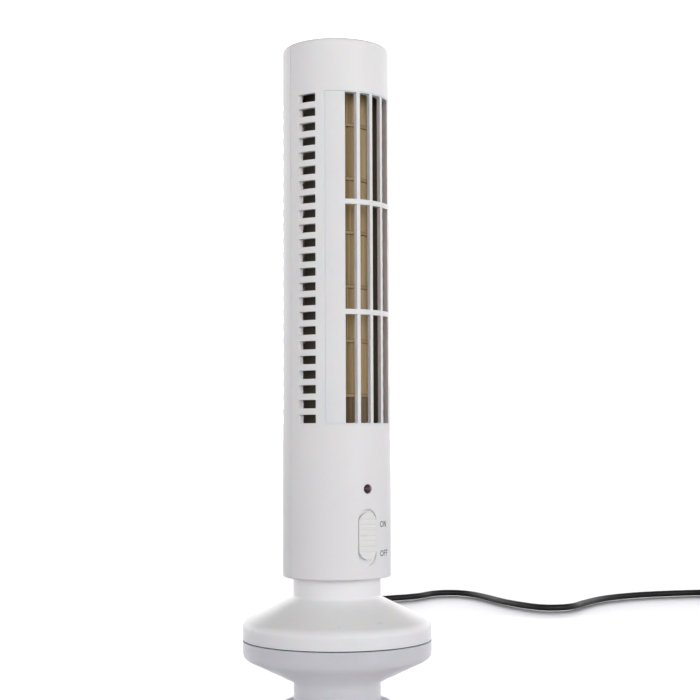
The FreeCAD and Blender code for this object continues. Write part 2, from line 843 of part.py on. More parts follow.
def front_grille(doc):
    """The barred panel that fills the opening from behind, with a flange around it."""
    low = "dims.grille_bottom"
    high = "dims.grille_top"
    inside = "dims.grille_half_width - dims.grille_gap"
    border = "dims.grille_relief_border"
    panel = common(doc, "grille_panel", [
        tube(doc, "grille_panel_ring", "dims.grille_face_radius", "dims.grille_back_radius",
             f"{low} + dims.grille_gap", f"{high} - dims.grille_gap"),
        box(doc, "grille_panel_side", centred(inside), ("-dims.body_radius", "0"),
            (low, high)),
    ])
    flange = common(doc, "grille_flange", [
        tube(doc, "grille_flange_ring", "dims.plate_radius", "dims.grille_back_radius",
             f"{low} - dims.grille_flange", f"{high} + dims.grille_flange"),
        box(doc, "grille_flange_side", centred(f"{inside} + dims.grille_flange"),
            ("-dims.body_radius", "-dims.flange_rear"),
            (f"{low} - 2 * dims.grille_flange", f"{high} + 2 * dims.grille_flange")),
    ])
    relief = common(doc, "grille_relief", [
        cylinder(doc, "grille_relief_core", "dims.grille_bar_back", f"{low} + {border}",
                 f"{high} - {border}"),
        box(doc, "grille_relief_side", centred(f"{inside} - {border}"), ("-dims.body_radius", "0"),
            (low, high)),
    ])
    grille = cut(doc, "grille", fuse(doc, "grille_solid", [panel, flange]),
                 [relief, slot_cutter(doc)])
    return name_node(grille, "front_grille")


# ---- air guides beside the impeller ----

def polar(radius, angle):
    """A point in plan at a radius, and at an angle to the right of the front."""
    return (f"({radius}) * sin({angle})", f"-({radius}) * cos({angle})")


def guide_walls(doc):
    """Two upright walls that part the intake side from the outlet side."""
    z_span = ("dims.motor_top + dims.bracket_thickness + dims.rib_gap",
              "dims.top_plate_bottom - dims.rib_gap")
    near = "dims.impeller_radius + dims.guide_gap"
    volute = box(doc, "volute", (f"-({near}) - dims.guide_wall", f"-({near})"),
                 ("-dims.guide_front", "0"), z_span)
    name_node(volute, "volute_wall")
    tongue = padded_body(
        doc, "tongue", "XY_Plane",
        [[polar(radius, angle) for radius, angle in TONGUE_CORNERS]],
        f"({z_span[1]}) - ({z_span[0]})", offset=z_span[0])
    return name_node(tongue, "tongue_wall")


# ---- impeller and its bearings ----

def blade_outline():
    """One blade in plan: an arc outside, a straight line inside, and short ends."""
    lean = "dims.blade_lean"
    tip = f"{lean} + dims.blade_tip_angle"
    root = "dims.blade_root_angle"
    return [
        ("dims.blade_inner", "0"),
        (f"dims.blade_outer * cos({lean})", f"dims.blade_outer * sin({lean})"),
        (f"dims.blade_outer * cos({tip})", f"dims.blade_outer * sin({tip})"),
        (f"dims.blade_inner * cos({root})", f"dims.blade_inner * sin({root})"),
    ]


def impeller_section(doc, number):
    """One moulded section: a ring with blades standing on it; the first has the hub."""
    name = f"impeller_section_{number}"
    low = f"(dims.impeller_bottom + {number - 1} * dims.section_height)"
    body = doc.addObject("PartDesign::Body", name)
    ring_sketch = new_sketch(body, name + "_ring", "XY_Plane", low)
    add_circle(ring_sketch, "dims.impeller_radius", doc)
    hole = "dims.coupling_radius + dims.press_gap" if number == 1 else "dims.disc_hole_radius"
    if number > 1:
        add_circle(ring_sketch, hole, doc)
    disc = body.newObject("PartDesign::Pad", name + "_disc")
    disc.Profile = ring_sketch
    bind(disc, Length="dims.disc_thickness")
    body.Tip = disc
    doc.recompute()
    if number == 1:
        hub_sketch = new_sketch(body, name + "_hub", "XY_Plane", "dims.hub_bottom")
        add_circle(hub_sketch, "dims.hub_radius", doc)
        add_circle(hub_sketch, hole, doc)
        hub = body.newObject("PartDesign::Pad", name + "_hub_pad")
        hub.Profile = hub_sketch
        bind(hub, Length="dims.impeller_bottom - dims.hub_bottom + dims.hub_root")
        body.Tip = hub
        doc.recompute()
    blade_sketch = new_sketch(body, name + "_blade", "XY_Plane",
                              f"{low} + dims.disc_thickness - dims.blade_root_depth")
    draw_outline(doc, blade_sketch, blade_outline(),
                 arcs={0: "dims.blade_curve"})
    blade = body.newObject("PartDesign::Pad", name + "_blade_pad")
    blade.Profile = blade_sketch
    bind(blade, Length="dims.section_height - dims.disc_thickness + dims.blade_root_depth")
    body.Tip = blade
    doc.recompute()
    ring_of_blades = body.newObject("PartDesign::PolarPattern", name + "_blades")
    ring_of_blades.Originals = [blade]
    ring_of_blades.Axis = (origin_item(body, "Z_Axis"), [""])
    ring_of_blades.Angle = 360
    bind(ring_of_blades, Occurrences="dims.blade_count")
    body.Tip = ring_of_blades
    turn = number * value_of(doc, "dims.section_turn")
    body.Placement = FreeCAD.Placement(
        FreeCAD.Vector(), FreeCAD.Rotation(FreeCAD.Vector(0, 0, 1), turn))
    doc.recompute()
    return name_node(body, name)


def add_circle(sketch, radius, doc):
    """A circle about the origin whose radius the sheet gives."""
    value = value_of(doc, radius)
    edge = sketch.addGeometry(
        Part.Circle(FreeCAD.Vector(), FreeCAD.Vector(0, 0, 1), value), False)
    sketch.addConstraint(Sketcher.Constraint("Coincident", edge, 3, -1, 1))
    index = sketch.addConstraint(Sketcher.Constraint("Radius", edge, value))
    sketch.setExpression(f"Constraints[{index}]", str(radius))


def impeller_ends(doc):
    """The upper end disc with its pin, the coupling and the motor shaft."""
    stack_top = "dims.impeller_bottom + dims.section_count * dims.section_height"
    disc = tube(doc, "end_disc", "dims.impeller_radius", "dims.shaft_radius", stack_top,
                f"{stack_top} + dims.end_disc_thickness")
    name_node(disc, "impeller_end_disc")
    pin = cylinder(doc, "pin", "dims.shaft_radius", "dims.pin_bottom", "dims.pin_top")
    name_node(pin, "impeller_pin")
    coupling = cut(doc, "coupling", cylinder(
        doc, "coupling_solid", "dims.coupling_radius", "dims.coupling_bottom",
        "dims.impeller_bottom"), [cylinder(
            doc, "coupling_bore", "dims.shaft_radius", "dims.coupling_bottom - dims.overrun",
            "dims.shaft_top")])
    name_node(coupling, "shaft_coupling")
    shaft = cylinder(doc, "shaft", "dims.shaft_radius", "dims.shaft_bottom", "dims.shaft_top")
    return name_node(shaft, "motor_shaft")


def top_bearing(doc):
    """The plate under the top of the tower and the bush that the pin turns in."""
    top = "dims.top_plate_bottom + dims.top_plate_thickness"
    disc = cylinder(doc, "top_disc", "dims.plate_radius", "dims.top_plate_bottom", top)
    boss = cylinder(doc, "top_boss", "dims.top_boss_radius", "dims.top_plate_bottom",
                    "dims.top_boss_top")
    bore = cylinder(doc, "top_bore", "dims.bush_radius", "dims.top_plate_bottom - dims.overrun",
                    "dims.top_boss_top + dims.overrun")
    plate = cut(doc, "top_plate", fuse(doc, "top_plate_solid", [disc, boss]), [bore])
    name_node(plate, "top_bearing_plate")
    bush = tube(doc, "bush", "dims.bush_radius", "dims.bearing_radius",
                "dims.top_plate_bottom", "dims.top_boss_top")
    return name_node(bush, "top_bearing_bush")


# ---- motor ----

def motor_can(doc):
    """The steel can: closed at the top, where its nose carries the shaft."""
    can = revolved_body(doc, "motor_can_body", [
        ("dims.motor_radius", "dims.motor_bottom"),
        ("dims.motor_radius", "dims.motor_top"),
        ("dims.motor_nose_radius", "dims.motor_top"),
        ("dims.motor_nose_radius", "dims.motor_top + dims.motor_nose_height"),
        ("dims.bearing_radius", "dims.motor_top + dims.motor_nose_height"),
        ("dims.bearing_radius", "dims.motor_top - dims.motor_wall"),
        ("dims.motor_radius - dims.motor_wall", "dims.motor_top - dims.motor_wall"),
        ("dims.motor_radius - dims.motor_wall", "dims.motor_bottom"),
    ])
    round_circle(doc, can, "motor_can_round", "dims.motor_radius", "dims.motor_top",
                 "dims.can_fillet")
    holes = [
        cylinder(doc, f"can_hole_{word}", "dims.shaft_radius", "dims.motor_top - dims.can_hole_reach",
                 "dims.motor_top + dims.overrun", f"{sign}dims.motor_screw_offset")
        for word, sign in (("right", ""), ("left", "-"))
    ]
    return name_node(cut(doc, "motor_can_open", can, holes), "motor_can")


def motor_inside(doc):
    """Magnets, armature and the end cap with its terminals."""
    ring = tube(doc, "magnet_ring", "dims.motor_radius - dims.motor_wall", "dims.magnet_inner",
                "dims.magnet_bottom", "dims.magnet_top")
    gap = box(doc, "magnet_gap", centred("dims.magnet_gap_half"),
              centred("dims.motor_radius"),
              ("dims.magnet_bottom - dims.overrun", "dims.magnet_top + dims.overrun"))
    name_node(cut(doc, "magnets", ring, [gap]), "motor_magnets")
    core = cylinder(doc, "armature_core", "dims.armature_radius", "dims.magnet_bottom",
                    "dims.magnet_top")
    commutator = cylinder(doc, "commutator", "dims.commutator_radius", 
                          "dims.motor_bottom + dims.commutator_rise", "dims.magnet_bottom")
    bore = cylinder(doc, "armature_bore", "dims.shaft_radius", "dims.motor_bottom",
                    "dims.magnet_top + dims.overrun")
    armature = cut(doc, "armature", fuse(doc, "armature_solid", [core, commutator]),
                   [bore])
    name_node(armature, "motor_armature")
    disc = cylinder(doc, "cap_disc", "dims.motor_radius - dims.slide_gap", "dims.cap_bottom",
                    "dims.motor_bottom")
    plug = cylinder(doc, "cap_plug_disc", "dims.motor_radius - dims.motor_wall - dims.press_gap",
                    "dims.motor_bottom", "dims.motor_bottom + dims.cap_plug")
    cap_bore = cylinder(doc, "cap_bore", "dims.bearing_radius", "dims.cap_bottom - dims.overrun",
                        "dims.motor_bottom + dims.cap_bore_reach")
    cap = cut(doc, "cap", fuse(doc, "cap_solid", [disc, plug]), [cap_bore])
    name_node(cap, "motor_end_cap")
    tabs = [
        box(doc, f"tab_{word}",
            (f"{x} - dims.tab_half_thickness", f"{x} + dims.tab_half_thickness"),
            centred("dims.tab_half_width"),
            ("dims.cap_bottom - dims.tab_length", "dims.cap_bottom"))
        for word, x in (("right", "dims.tab_offset"), ("left", "-dims.tab_offset"))
    ]
    return name_node(fuse(doc, "tabs", tabs), "motor_terminals")


def motor_mount(doc):
    """The bulkhead that carries the motor, its rubber sleeve and two screws."""
    top = "dims.motor_top + dims.bracket_thickness"
    disc = cylinder(doc, "bracket_disc", "dims.plate_radius", "dims.motor_top", top)
    skirt = tube(doc, "bracket_skirt", "dims.bracket_skirt_outer", "dims.bracket_skirt_inner",
                 "dims.bracket_skirt_bottom", "dims.motor_top")
    nose = cylinder(doc, "bracket_nose", "dims.motor_nose_radius + dims.nose_clearance",
                    "dims.motor_top - dims.overrun",
                    f"{top} + dims.overrun")
    places = (("right", "dims.motor_screw_offset"), ("left", "-dims.motor_screw_offset"))
    holes = [
        cylinder(doc, f"bracket_hole_{word}", "dims.shaft_radius + dims.slide_gap",
                 "dims.motor_top - dims.overrun",
                 f"{top} + dims.overrun", x)
        for word, x in places
    ]
    bracket = cut(doc, "bracket", fuse(doc, "bracket_solid", [disc, skirt]), [nose] + holes)
    name_node(bracket, "motor_bracket")
    sleeve = tube(doc, "sleeve", "dims.bracket_skirt_inner - dims.press_gap",
                  "dims.motor_radius + dims.press_gap",
                  "dims.bracket_skirt_bottom + dims.sleeve_inset",
                  "dims.motor_top - dims.sleeve_inset")
    name_node(sleeve, "motor_sleeve")
    screws = []
    for word, x in places:
        head = cylinder(doc, f"motor_screw_head_{word}", "dims.motor_screw_head_radius", top,
                        f"{top} + dims.motor_screw_head_height", x)
        shank = cylinder(doc, f"motor_screw_shank_{word}", "dims.shaft_radius - dims.press_gap",
                         "dims.motor_top - dims.motor_screw_reach", top, x)
        screws += [head, shank]
    return name_node(fuse(doc, "motor_screw_set", screws), "motor_screws")


# ---- lamp and switch ----

def lamp(doc):
    """The indicator lamp in the front, its leads and the small board behind it."""
    z = "dims.lamp_height"
    barrel = cylinder_y(doc, "lamp_barrel", "dims.lamp_radius", "-dims.lamp_dome",
                        "-dims.lamp_back", 0, z)
    flange = cylinder_y(doc, "lamp_flange_ring", "dims.lamp_radius + dims.lamp_flange_width",
                        "-dims.lamp_flange",
                        "-dims.lamp_back", 0, z)
    dome = doc.addObject("Part::Sphere", "lamp_dome_ball")
    bind(dome, Radius="dims.lamp_radius")
    place(dome, 0, "-dims.lamp_dome", z)
    name_node(fuse(doc, "lamp_solid", [barrel, flange, dome]), "indicator_lamp")
    half = "dims.lead_half"
    leads = [
        box(doc, f"lead_{word}", (f"{x} - {half}", f"{x} + {half}"),
            ("-dims.lamp_back", "-dims.board_front"), (f"{z} - {half}", f"{z} + {half}"))
        for word, x in (("right", "dims.lead_offset"), ("left", "-dims.lead_offset"))
    ]
    name_node(fuse(doc, "leads", leads), "lamp_leads")
    board = box(doc, "board", centred("dims.board_half"),
                ("-dims.board_front", "-dims.board_front + dims.board_thickness"),
                (f"{z} - dims.board_half", f"{z} + dims.board_half"))
    return name_node(board, "lamp_board")


def slide_switch(doc):
    """The slide switch behind the front wall, its pins, lever and two screws."""
    block = box(doc, "switch_block", centred("dims.switch_half_width"),
               ("-dims.switch_front", "-dims.switch_back"),
               ("dims.switch_bottom", "dims.switch_top"))
    ears = box(doc, "switch_ears", centred("dims.ear_half_width"),
               ("-dims.switch_front", "-dims.switch_front + dims.ear_thickness"),
               ("dims.ear_bottom", "dims.ear_top"))
    mouth = box(
        doc, "switch_mouth", centred("dims.lever_half_width + dims.mouth_side_clearance"),
        ("-dims.switch_front - dims.overrun", "-dims.lever_back + dims.mouth_clearance"),
        ("dims.knob_centre - dims.switch_travel - dims.lever_half_height - dims.mouth_clearance",
         "dims.knob_centre + dims.lever_half_height + dims.mouth_clearance"))
    places = (("low", "dims.ear_screw_low"), ("high", "dims.ear_screw_high"))
    holes = [
        cylinder_y(doc, f"ear_hole_{word}", "dims.screw_pilot_radius + dims.slide_gap",
                   "-dims.switch_front - dims.overrun", "-dims.lever_slot_back", 0, z)
        for word, z in places
    ]
    switch = cut(doc, "switch", fuse(doc, "switch_solid", [block, ears]), [mouth] + holes)
    name_node(switch, "switch_case")
    middle = "dims.switch_pin_middle"
    pitch = "dims.switch_pin_pitch"
    half = "dims.switch_pin_half"
    pins = [
        box(doc, f"switch_pin_{number + 2}", centred("dims.switch_pin_half_width"),
            ("-dims.switch_back", "-dims.switch_back + dims.switch_pin_length"),
            (f"{middle} + {number} * {pitch} - {half}", f"{middle} + {number} * {pitch} + {half}"))
        for number in (-1, 0, 1)
    ]
    name_node(fuse(doc, "switch_pins", pins), "switch_terminals")
    seat = "-dims.switch_front + dims.ear_thickness"
    screws = [screw_y(doc, f"switch_screw_{word}", "0", z, seat, "-dims.ear_screw_tip")
              for word, z in places]
    name_node(fuse(doc, "switch_screw_set", screws), "switch_screws")
    lever = box(
        doc, "lever", centred("dims.lever_half_width"),
        ("-dims.lever_front", "-dims.lever_back"),
        ("dims.knob_centre - dims.lever_half_height", "dims.knob_centre + dims.lever_half_height"))
    return name_node(lever, "switch_lever")


def switch_knob(doc):
    """The ribbed slider that the finger moves, with a socket for the lever."""
    blank = common(doc, "knob_blank", [
        stadium(doc, "knob_plan", "dims.knob_width", "dims.knob_height", "dims.knob_centre",
                "-dims.body_radius - dims.overrun", "-dims.knob_back"),
        cylinder(doc, "knob_face", "dims.knob_face_radius", "dims.body_bottom",
                 "dims.lamp_height"),
    ])
    socket = box(
        doc, "knob_socket", centred("dims.lever_half_width + dims.press_gap"),
        ("-dims.lever_front - dims.press_gap", "-dims.knob_back + dims.overrun"),
        ("dims.knob_centre - dims.lever_half_height - dims.press_gap",
         "dims.knob_centre + dims.lever_half_height + dims.press_gap"))
    grooves = []
    for number in range(int(value_of(doc, "dims.knob_grooves"))):
        z = (f"dims.knob_centre + ({number} - (dims.knob_grooves - 1) / 2)"
             " * dims.knob_groove_pitch")
        grooves.append(box(
            doc, f"knob_groove_{number}", centred("dims.knob_groove_half_width"),
            ("-dims.body_radius - dims.overrun", "-dims.knob_face_radius + dims.knob_groove_depth"),
            (f"{z} - dims.knob_groove / 2", f"{z} + dims.knob_groove / 2")))
    return name_node(cut(doc, "knob", blank, [socket] + grooves), "switch_knob")


# ---- base ----

def base_shell(doc):
    """The one-piece base: rim, cone and neck, with the collar that the tower closes on."""
    shell = revolved_body(doc, "base_turned", [
        ("dims.base_radius", "dims.base_lift"),
        ("dims.base_radius", "dims.rim_corner_height"),
        ("dims.neck_radius", "dims.neck_foot_height"),
        ("dims.neck_radius", "dims.neck_top"),
        ("dims.collar_radius", "dims.neck_top"),
        ("dims.collar_radius", "dims.collar_top"),
        ("dims.collar_lip_radius", "dims.collar_top"),
        ("dims.collar_lip_radius", "dims.collar_lip_top"),
        ("dims.collar_bore", "dims.collar_lip_top"),
        ("dims.collar_bore", "dims.neck_top - dims.base_wall"),
        ("dims.neck_radius - dims.base_wall", "dims.neck_top - dims.base_wall"),
        ("dims.neck_radius - dims.base_wall",
         "dims.neck_foot_height - dims.cone_drop"),
        ("dims.base_radius - dims.base_wall",
         "dims.rim_corner_height - dims.cone_drop"),
        ("dims.base_radius - dims.base_wall", "dims.base_lift"),
    ])
    round_circle(doc, shell, "base_rim_round", "dims.base_radius", "dims.rim_corner_height",
                 "dims.rim_fillet")
    round_circle(doc, shell, "base_neck_round", "dims.neck_radius", "dims.neck_foot_height",
                 "dims.neck_fillet")
    round_circle(doc, shell, "base_neck_edge", "dims.neck_radius", "dims.neck_top",
                 "dims.neck_edge_fillet")
    bosses = [
        cylinder(doc, f"base_boss_{number}", "dims.base_boss_radius", "dims.base_plate_top",
                 "dims.base_boss_top", x, y)
        for number, (x, y) in enumerate(corners("dims.base_boss_circle"))
    ]
    pilots = [
        cylinder(doc, f"base_pilot_{number}", "dims.screw_pilot_radius", "0",
                 "dims.base_screw_top + dims.base_pilot_rest", x, y)
        for number, (x, y) in enumerate(corners("dims.base_boss_circle"))
    ]
    cord_hole = cylinder_y(doc, "cord_hole", "dims.gland_radius + dims.press_gap", "dims.cord_hole_start",
                           "dims.base_radius + dims.overrun", 0, "dims.cord_exit_height")
    solid = fuse(doc, "base_solid", [shell] + bosses)
    return name_node(cut(doc, "base_open", solid, pilots + [cord_hole]), "base_shell")


def base_plate(doc):
    """The flat cover under the base, with screw wells, foot pockets and a cord notch."""
    disc = cylinder(doc, "plate_disc", "dims.base_plate_radius", "dims.base_plate_bottom",
                    "dims.base_plate_top")
    tools = []
    for number, (x, y) in enumerate(corners("dims.base_boss_circle")):
        tools.append(cylinder(doc, f"plate_hole_{number}", "dims.screw_clear_radius", "0",
                              "dims.base_plate_top + dims.overrun", x, y))
        tools.append(cylinder(doc, f"plate_well_{number}", "dims.screw_well_radius", "0",
                              "dims.base_plate_bottom + dims.base_well_depth", x, y))
    for number, (x, y) in enumerate(corners("dims.foot_circle")):
        tools.append(cylinder(doc, f"foot_pocket_{number}", "dims.foot_radius + dims.slide_gap", "0",
                              "dims.foot_height", x, y))
    tools.append(box(doc, "plate_notch", centred("dims.notch_half_width"),
                     ("dims.notch_start", "dims.notch_end"), ("0", "dims.notch_height")))
    return name_node(cut(doc, "plate", disc, tools), "base_plate")


def base_fittings(doc):
    """Screws, feet and the steel ring that steadies the fan."""
    seat = "dims.base_plate_bottom + dims.base_well_depth"
    screws = []
    for number, (x, y) in enumerate(corners("dims.base_boss_circle")):
        screws.append(cylinder(doc, f"base_screw_head_{number}", "dims.screw_head_radius",
                               "dims.base_plate_bottom + dims.base_head_inset", seat, x, y))
        screws.append(cylinder(doc, f"base_screw_shank_{number}", "dims.screw_radius",
                               seat, "dims.base_screw_top", x, y))
    name_node(fuse(doc, "base_screw_set", screws), "base_screws")
    feet = [
        cylinder(doc, f"foot_{number}", "dims.foot_radius", "0", "dims.foot_height", x, y)
        for number, (x, y) in enumerate(corners("dims.foot_circle"))
    ]
    name_node(fuse(doc, "feet", feet), "rubber_feet")
    ring = tube(doc, "weight_ring", "dims.weight_outer", "dims.weight_inner",
                "dims.weight_bottom", "dims.weight_top")
    notch = box(doc, "weight_notch", centred("dims.weight_notch_half_width"),
                ("dims.weight_notch_start", "dims.weight_outer + dims.overrun"),
                ("0", "dims.weight_notch_height"))
    return name_node(cut(doc, "weight", ring, [notch]), "base_weight")


# ---- cord ----

def rounded_path(points, label):
    """Straight runs through the points, joined by arcs as large as the runs allow."""
    vectors = [FreeCAD.Vector(*point) for point in points]
    edges = []
    reach = vectors[0]
    radii = []
    for before, corner, after in zip(vectors, vectors[1:], vectors[2:]):
        back = before - corner
        ahead = after - corner
        run = 0.45 * min(back.Length, ahead.Length)
        turn = math.pi - back.getAngle(ahead)
        radius = run / math.tan(turn / 2)
        radii.append(radius)
        back.normalize()
        ahead.normalize()
        middle = (back + ahead).normalize()
        bulge = math.hypot(run, radius) - radius
        start = corner + back * run
        end = corner + ahead * run
        edges.append(Part.LineSegment(reach, start).toShape())
        edges.append(Part.Arc(start, corner + middle * bulge, end).toShape())
        reach = end
    edges.append(Part.LineSegment(reach, vectors[-1]).toShape())
    path = Part.Wire(edges)
    print(f"{label}: length {path.Length:.1f} mm, radii "
          + " ".join(f"{radius:.0f}" for radius in radii))
    return path


def tube_along(doc, name, points, radius):
    """A round tube along a rounded path, its volume checked against its length."""
    path = rounded_path(points, name)
    start = FreeCAD.Vector(*points[0])
    heading = FreeCAD.Vector(*points[1]) - start
    ring = Part.Wire([Part.Circle(start, heading, radius).toShape()])
    shape = path.makePipeShell([ring], True, False)
    expected = math.pi * radius ** 2 * path.Length
    if abs(shape.Volume - expected) > 0.01 * expected:
        raise ValueError(f"{name}: volume {shape.Volume:.1f}, expected {expected:.1f}")
    feature = doc.addObject("Part::Feature", name + "_tube")
    feature.Shape = shape
    return name_node(feature, name)


def cord_gland(doc):
    """The strain relief in the rim of the base: flanges and a tapered sleeve."""
    z = "dims.cord_exit_height"
    rim = "dims.base_radius"
    shoulder = f"{rim} + dims.gland_shoulder"
    barrel = cylinder_y(doc, "gland_barrel", "dims.gland_radius", f"{rim} - dims.gland_inset",
                        f"{rim} + dims.overrun", 0, z)
    inner = cylinder_y(doc, "gland_inner", "dims.gland_flange - dims.gland_step",
                       f"{rim} - dims.gland_inset",
                       f"{rim} - dims.base_wall - dims.slide_gap", 0, z)
    outer = cylinder_y(doc, "gland_outer", "dims.gland_flange", f"{rim} + dims.press_gap",
                       shoulder, 0, z)
    sleeve = cone_y(doc, "gland_sleeve", "dims.gland_flange - dims.gland_taper_step",
                    "dims.cord_radius + dims.gland_taper_step", shoulder, "dims.gland_end", 0, z)
    return name_node(fuse(doc, "gland", [barrel, inner, outer, sleeve]), "cord_gland")


def cord_pieces(doc):
    """The free cord, its put-away coil and tie, the tail to the plug, and inner wires."""
    radius = value_of(doc, "dims.cord_radius")
    wire = value_of(doc, "dims.wire_radius")
    tube_along(doc, "power_cord", CORD_ROUTE, radius)
    tube_along(doc, "inner_cable", INNER_CABLE_ROUTE, radius)
    tube_along(doc, "switch_wire", SWITCH_WIRE_ROUTE, wire)
    tube_along(doc, "motor_wire", MOTOR_WIRE_ROUTE, wire)
    tail = doc.addObject("Part::Feature", "tail_tube")
    start = FreeCAD.Vector(*TAIL_START)
    end = FreeCAD.Vector(*TAIL_END)
    tail.Shape = Part.makeCylinder(radius, (end - start).Length, start, end - start)
    name_node(tail, "cord_tail")
    reach = f"{COIL_TURNS_WIDE} * dims.cord_radius"
    coil = tube(
        doc, "coil", f"dims.coil_mean_radius + {reach}", f"dims.coil_mean_radius - {reach}",
        "0", f"{COIL_TURNS_HIGH} * 2 * dims.cord_radius", COIL_CENTRE[0], COIL_CENTRE[1])
    return name_node(coil, "cord_coil")


def usb_plug(doc):
    """The plug at the cord's end: moulded grip, metal shell and inner tongue."""
    start = FreeCAD.Vector(*TAIL_START)
    end = FreeCAD.Vector(*TAIL_END)
    flat = FreeCAD.Vector(end.x - start.x, end.y - start.y, 0)
    turn = FreeCAD.Rotation(FreeCAD.Vector(0, 1, 0), flat)
    middle = value_of(doc, "dims.grip_height / 2")
    seat = FreeCAD.Placement(FreeCAD.Vector(end.x, end.y, middle), turn)

    def block(name, width, height, y0, y1):
        solid = doc.addObject("Part::Box", name)
        bind(solid, Length=width, Width=f"({y1}) - ({y0})", Height=height)
        local = FreeCAD.Vector(-value_of(doc, width) / 2, value_of(doc, y0),
                               -value_of(doc, height) / 2)
        solid.Placement = seat.multiply(FreeCAD.Placement(local, FreeCAD.Rotation()))
        return solid

    doc.recompute()
    grip = block("grip_block", "dims.grip_width", "dims.grip_height", "0", "dims.grip_length")
    doc.recompute()
    rounded = doc.addObject("Part::Fillet", "grip_rounded")
    rounded.Base = grip
    fillet = value_of(doc, "dims.grip_fillet")
    rounded.Edges = [(number, fillet, fillet) for number in range(1, 13)]
    name_node(rounded, "usb_plug_grip")
    far = "dims.grip_length + dims.plug_length"
    outside = block("shell_outside", "dims.plug_width", "dims.plug_height", "dims.grip_length",
                    far)
    hollow = block("shell_hollow", "dims.plug_width - 2 * dims.plug_wall",
                   "dims.plug_height - 2 * dims.plug_wall", "dims.grip_length", f"{far} + dims.overrun")
    name_node(cut(doc, "plug_shell", outside, [hollow]), "usb_plug_shell")
    tongue = block("tongue_block", "dims.plug_width - 2 * dims.plug_wall - dims.tongue_clearance",
                   "dims.tongue_height", "dims.grip_length", f"{far} - dims.tongue_inset")
    rise = FreeCAD.Vector(0, 0, value_of(doc, "dims.tongue_offset"))
    tongue.Placement = FreeCAD.Placement(rise, FreeCAD.Rotation()).multiply(tongue.Placement)
    name_node(tongue, "usb_plug_tongue")


def check_document(doc):
    """Stop if any object failed or any sub-part has no valid shape."""
    for item in doc.Objects:
        if "Invalid" in item.State or "Error" in item.State:
            raise RuntimeError(f"{item.Name}: {item.State}")
    for name in NODE_NAMES:
        shape = doc.getObject(name).Shape
        if shape.isNull() or not shape.isValid() or not shape.Solids:
            raise RuntimeError(f"{name}: no valid solid")


def write_nodes(doc):
    """One STEP file for each sub-part."""
    os.makedirs("parts", exist_ok=True)
    for name in NODE_NAMES:
        item = doc.getObject(name)
        item.Shape.exportStep(f"parts/{item.Label}.step")
        bounds = item.Shape.BoundBox
        print(f"{item.Label}: {len(item.Shape.Solids)} solid(s), "
              f"{item.Shape.Volume:.0f} mm3, z {bounds.ZMin:.2f} to {bounds.ZMax:.2f}")


def main():
    doc = FreeCAD.newDocument("tower_fan")
    make_sheet(doc)
    blank = tower_blank(doc)
    groove = seam_groove(doc)
    front_shell(doc, blank, groove)
    rear_shell(doc, blank, groove)
    body_screws(doc)
    front_grille(doc)
    guide_walls(doc)
    for number in range(1, int(value_of(doc, "dims.section_count")) + 1):
        impeller_section(doc, number)
    impeller_ends(doc)
    top_bearing(doc)
    motor_can(doc)
    motor_inside(doc)
    motor_mount(doc)
    lamp(doc)
    slide_switch(doc)
    switch_knob(doc)
    base_shell(doc)
    base_plate(doc)
    base_fittings(doc)
    cord_gland(doc)
    cord_pieces(doc)
    usb_plug(doc)
    doc.recompute()
    check_document(doc)
    write_nodes(doc)


main()
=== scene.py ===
import math

import bmesh
import bpy
from mathutils import Matrix, Vector


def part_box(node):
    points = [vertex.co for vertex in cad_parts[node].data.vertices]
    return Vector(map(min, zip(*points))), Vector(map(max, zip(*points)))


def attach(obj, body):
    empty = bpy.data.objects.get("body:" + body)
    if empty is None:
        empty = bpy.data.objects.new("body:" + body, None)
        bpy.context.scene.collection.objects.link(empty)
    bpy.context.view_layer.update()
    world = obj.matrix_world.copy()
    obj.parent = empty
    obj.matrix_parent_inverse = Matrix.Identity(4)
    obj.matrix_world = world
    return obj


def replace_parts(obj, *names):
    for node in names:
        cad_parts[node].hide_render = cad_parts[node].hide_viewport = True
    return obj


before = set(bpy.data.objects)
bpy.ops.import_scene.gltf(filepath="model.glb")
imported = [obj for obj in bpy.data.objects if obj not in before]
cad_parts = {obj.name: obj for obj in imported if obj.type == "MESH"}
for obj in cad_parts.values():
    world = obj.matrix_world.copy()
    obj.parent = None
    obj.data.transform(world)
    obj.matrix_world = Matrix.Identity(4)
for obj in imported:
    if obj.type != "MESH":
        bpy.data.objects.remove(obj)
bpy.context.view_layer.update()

MM = 0.001

# ---------------------------------------------------------------- camera

CAMERA_PLACE = (-0.4468, -0.6636, 0.1109)
CAMERA_TURN = math.radians(34.5)
CAMERA_PITCH = math.radians(3.505)
CAMERA_ROLL = math.radians(0.203)
CAMERA_LENS = 73.48
SENSOR_WIDTH = 36.0


def make_camera():
    """The photograph's camera: low, seen from the fan's left front, and pitched up a little."""
    data = bpy.data.cameras.new("camera")
    data.sensor_width = SENSOR_WIDTH
    data.lens = CAMERA_LENS
    data.clip_start = 0.01
    data.clip_end = 200.0
    camera = bpy.data.objects.new("camera", data)
    bpy.context.scene.collection.objects.link(camera)
    away = Vector((math.sin(CAMERA_TURN), math.cos(CAMERA_TURN), 0.0))
    right = Vector((away.y, -away.x, 0.0))
    forward = away * math.cos(CAMERA_PITCH) + Vector((0, 0, math.sin(CAMERA_PITCH)))
    up = right.cross(forward)
    turned_right = right * math.cos(CAMERA_ROLL) - up * math.sin(CAMERA_ROLL)
    turned_up = up * math.cos(CAMERA_ROLL) + right * math.sin(CAMERA_ROLL)
    frame_of_view = Matrix((turned_right, turned_up, -forward)).transposed().to_4x4()
    camera.matrix_world = Matrix.Translation(CAMERA_PLACE) @ frame_of_view
    bpy.context.scene.camera = camera


make_camera()

# ---------------------------------------------------------------- materials


